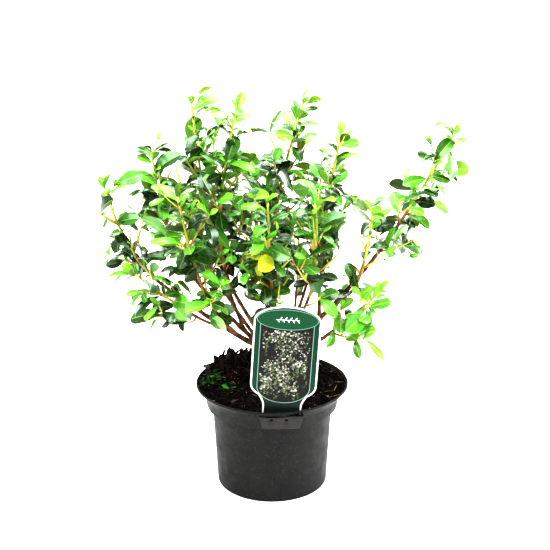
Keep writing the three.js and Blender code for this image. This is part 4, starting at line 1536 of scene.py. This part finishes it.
def area_light(name, place, aim, size, power):
    light = bpy.data.lights.new(name, "AREA")
    light.shape = "RECTANGLE"
    light.size, light.size_y = size
    light.energy = power
    lamp = bpy.data.objects.new(name, light)
    lamp.location = place
    lamp.rotation_euler = (Vector(aim) - Vector(place)).to_track_quat("-Z", "Y").to_euler()
    bpy.context.collection.objects.link(lamp)


def camera():
    view = bpy.data.cameras.new("camera")
    view.lens = LENS
    view.sensor_width = SENSOR
    eye = bpy.data.objects.new("camera", view)
    eye.location = Vector(EYE) * MM
    eye.rotation_euler = (CAMERA_TILT, 0, 0)
    bpy.context.collection.objects.link(eye)
    bpy.context.scene.camera = eye


def picture_looks():
    looks = bpy.context.scene.view_settings
    looks.view_transform = "Standard"
    looks.exposure = EXPOSURE
    looks.gamma = GAMMA


# Assembly

def dress_pot():
    black = mottled(
        finish("pot_black", (15, 15, 15), 0.55, grain=90, bump=0.08, Specular_IOR_Level=0.25),
        (14, 14, 14), (48, 44, 38), 420, 0.56, 0.8,
    )
    holder_front_finish = mottled(
        finish("pot_holder_front", (40, 39, 36), 0.5, grain=90, bump=0.08, Specular_IOR_Level=0.3),
        (38, 37, 34), (50, 48, 43), 900, 0.4, 0.8,
    )
    dress(pot_piece(black, holder_front_finish), "pot_plastic", "pot")


def dress_label():
    colours = finishes(LABEL_COLOURS, 0.4, spread=0.04, grain=40, bump=0.05, Specular_IOR_Level=0.16)
    dress(label_piece(colours), "label_plastic", "label")


def dress_soil():
    compost = mottled(
        finish("compost_bed", (14, 11, 8), 0.92, grain=300, bump=0.7, depth=0.0012,
               Specular_IOR_Level=0.1),
        (6, 5, 4), (28, 20, 14), 260, 0.4, 0.75,
    )
    dress(soil_piece(compost), "compost", "soil")
    for bits in soil_bits():
        dress(bits, "compost")


def dress_limbs(limbs):
    bark = mottled(
        finish("bark_old", (100, 63, 40), 0.75, grain=240, bump=0.5, depth=0.0008, Specular_IOR_Level=0.3),
        (64, 38, 27), (138, 93, 58), 120, 0.35, 0.7,
    )
    dress(limb_piece(limbs, bark), "bark", "trunk", *["bough_" + bough[0] for bough in BOUGHS])


def dress_mass(index, mass, spaces, stem_finishes, leaf_finishes):
    """The stems and leaves that take the place of one solid mass."""
    stems, leaves = grown_mass(index, mass, spaces)
    numbers = np.random.default_rng(mass["seed"])
    twigs = stem_piece("twigs_" + mass["name"], stems, stem_finishes, numbers)
    dress(twigs, "bark", "foliage_" + mass["name"])
    points, faces, kinds = blades(leaves, numbers)
    tones = np.array([tone_of(leaf, mass) for leaf in leaves])
    # Painted light and shade: the upper side's other half takes a tone one lighter, one darker or the
    # same, at random
    painted_light_shift = numbers.choice((-1, 0, 1), size=len(leaves), p=(0.3, 0.4, 0.3))
    other = np.where(tones == YELLOW, YELLOW, np.clip(tones + painted_light_shift, 0, YELLOW - 1))
    tone = np.where(kinds == PAINTED_LIGHT_HALF, other[:, None], tones[:, None])
    side = np.where(kinds == PAINTED_LIGHT_HALF, UPPER, kinds)
    slots = (tone * SIDES_OF_A_TONE + side).ravel()
    foliage = mesh_piece("leaves_" + mass["name"], points, [(faces, slots)], leaf_finishes, sharp=50)
    dress(foliage, "foliage", "foliage_" + mass["name"])


def dress_foliage(limbs):
    masses = grown_masses(limbs)
    spaces = Spaces(limbs, masses)
    stem_finishes = [
        finish("stem_brown", (118, 68, 34), 0.55, grain=200, bump=0.3, depth=0.0004),
        finish("stem_tan", (186, 138, 62), 0.48, grain=200, bump=0.2, depth=0.0003),
        finish("stem_young", (186, 180, 78), 0.42, grain=200, bump=0.15, depth=0.0002),
    ]
    leaf_finishes = leaf_materials()
    for index, mass in enumerate(masses):
        dress_mass(index, mass, spaces, stem_finishes, leaf_finishes)


camera()
stage()
for name, (place, aim, size, power) in LIGHTS.items():
    area_light(name, place, aim, size, power)
picture_looks()
dress_pot()
dress_label()
dress_soil()
limbs = grown_limbs()
dress_limbs(limbs)
dress_foliage(limbs)
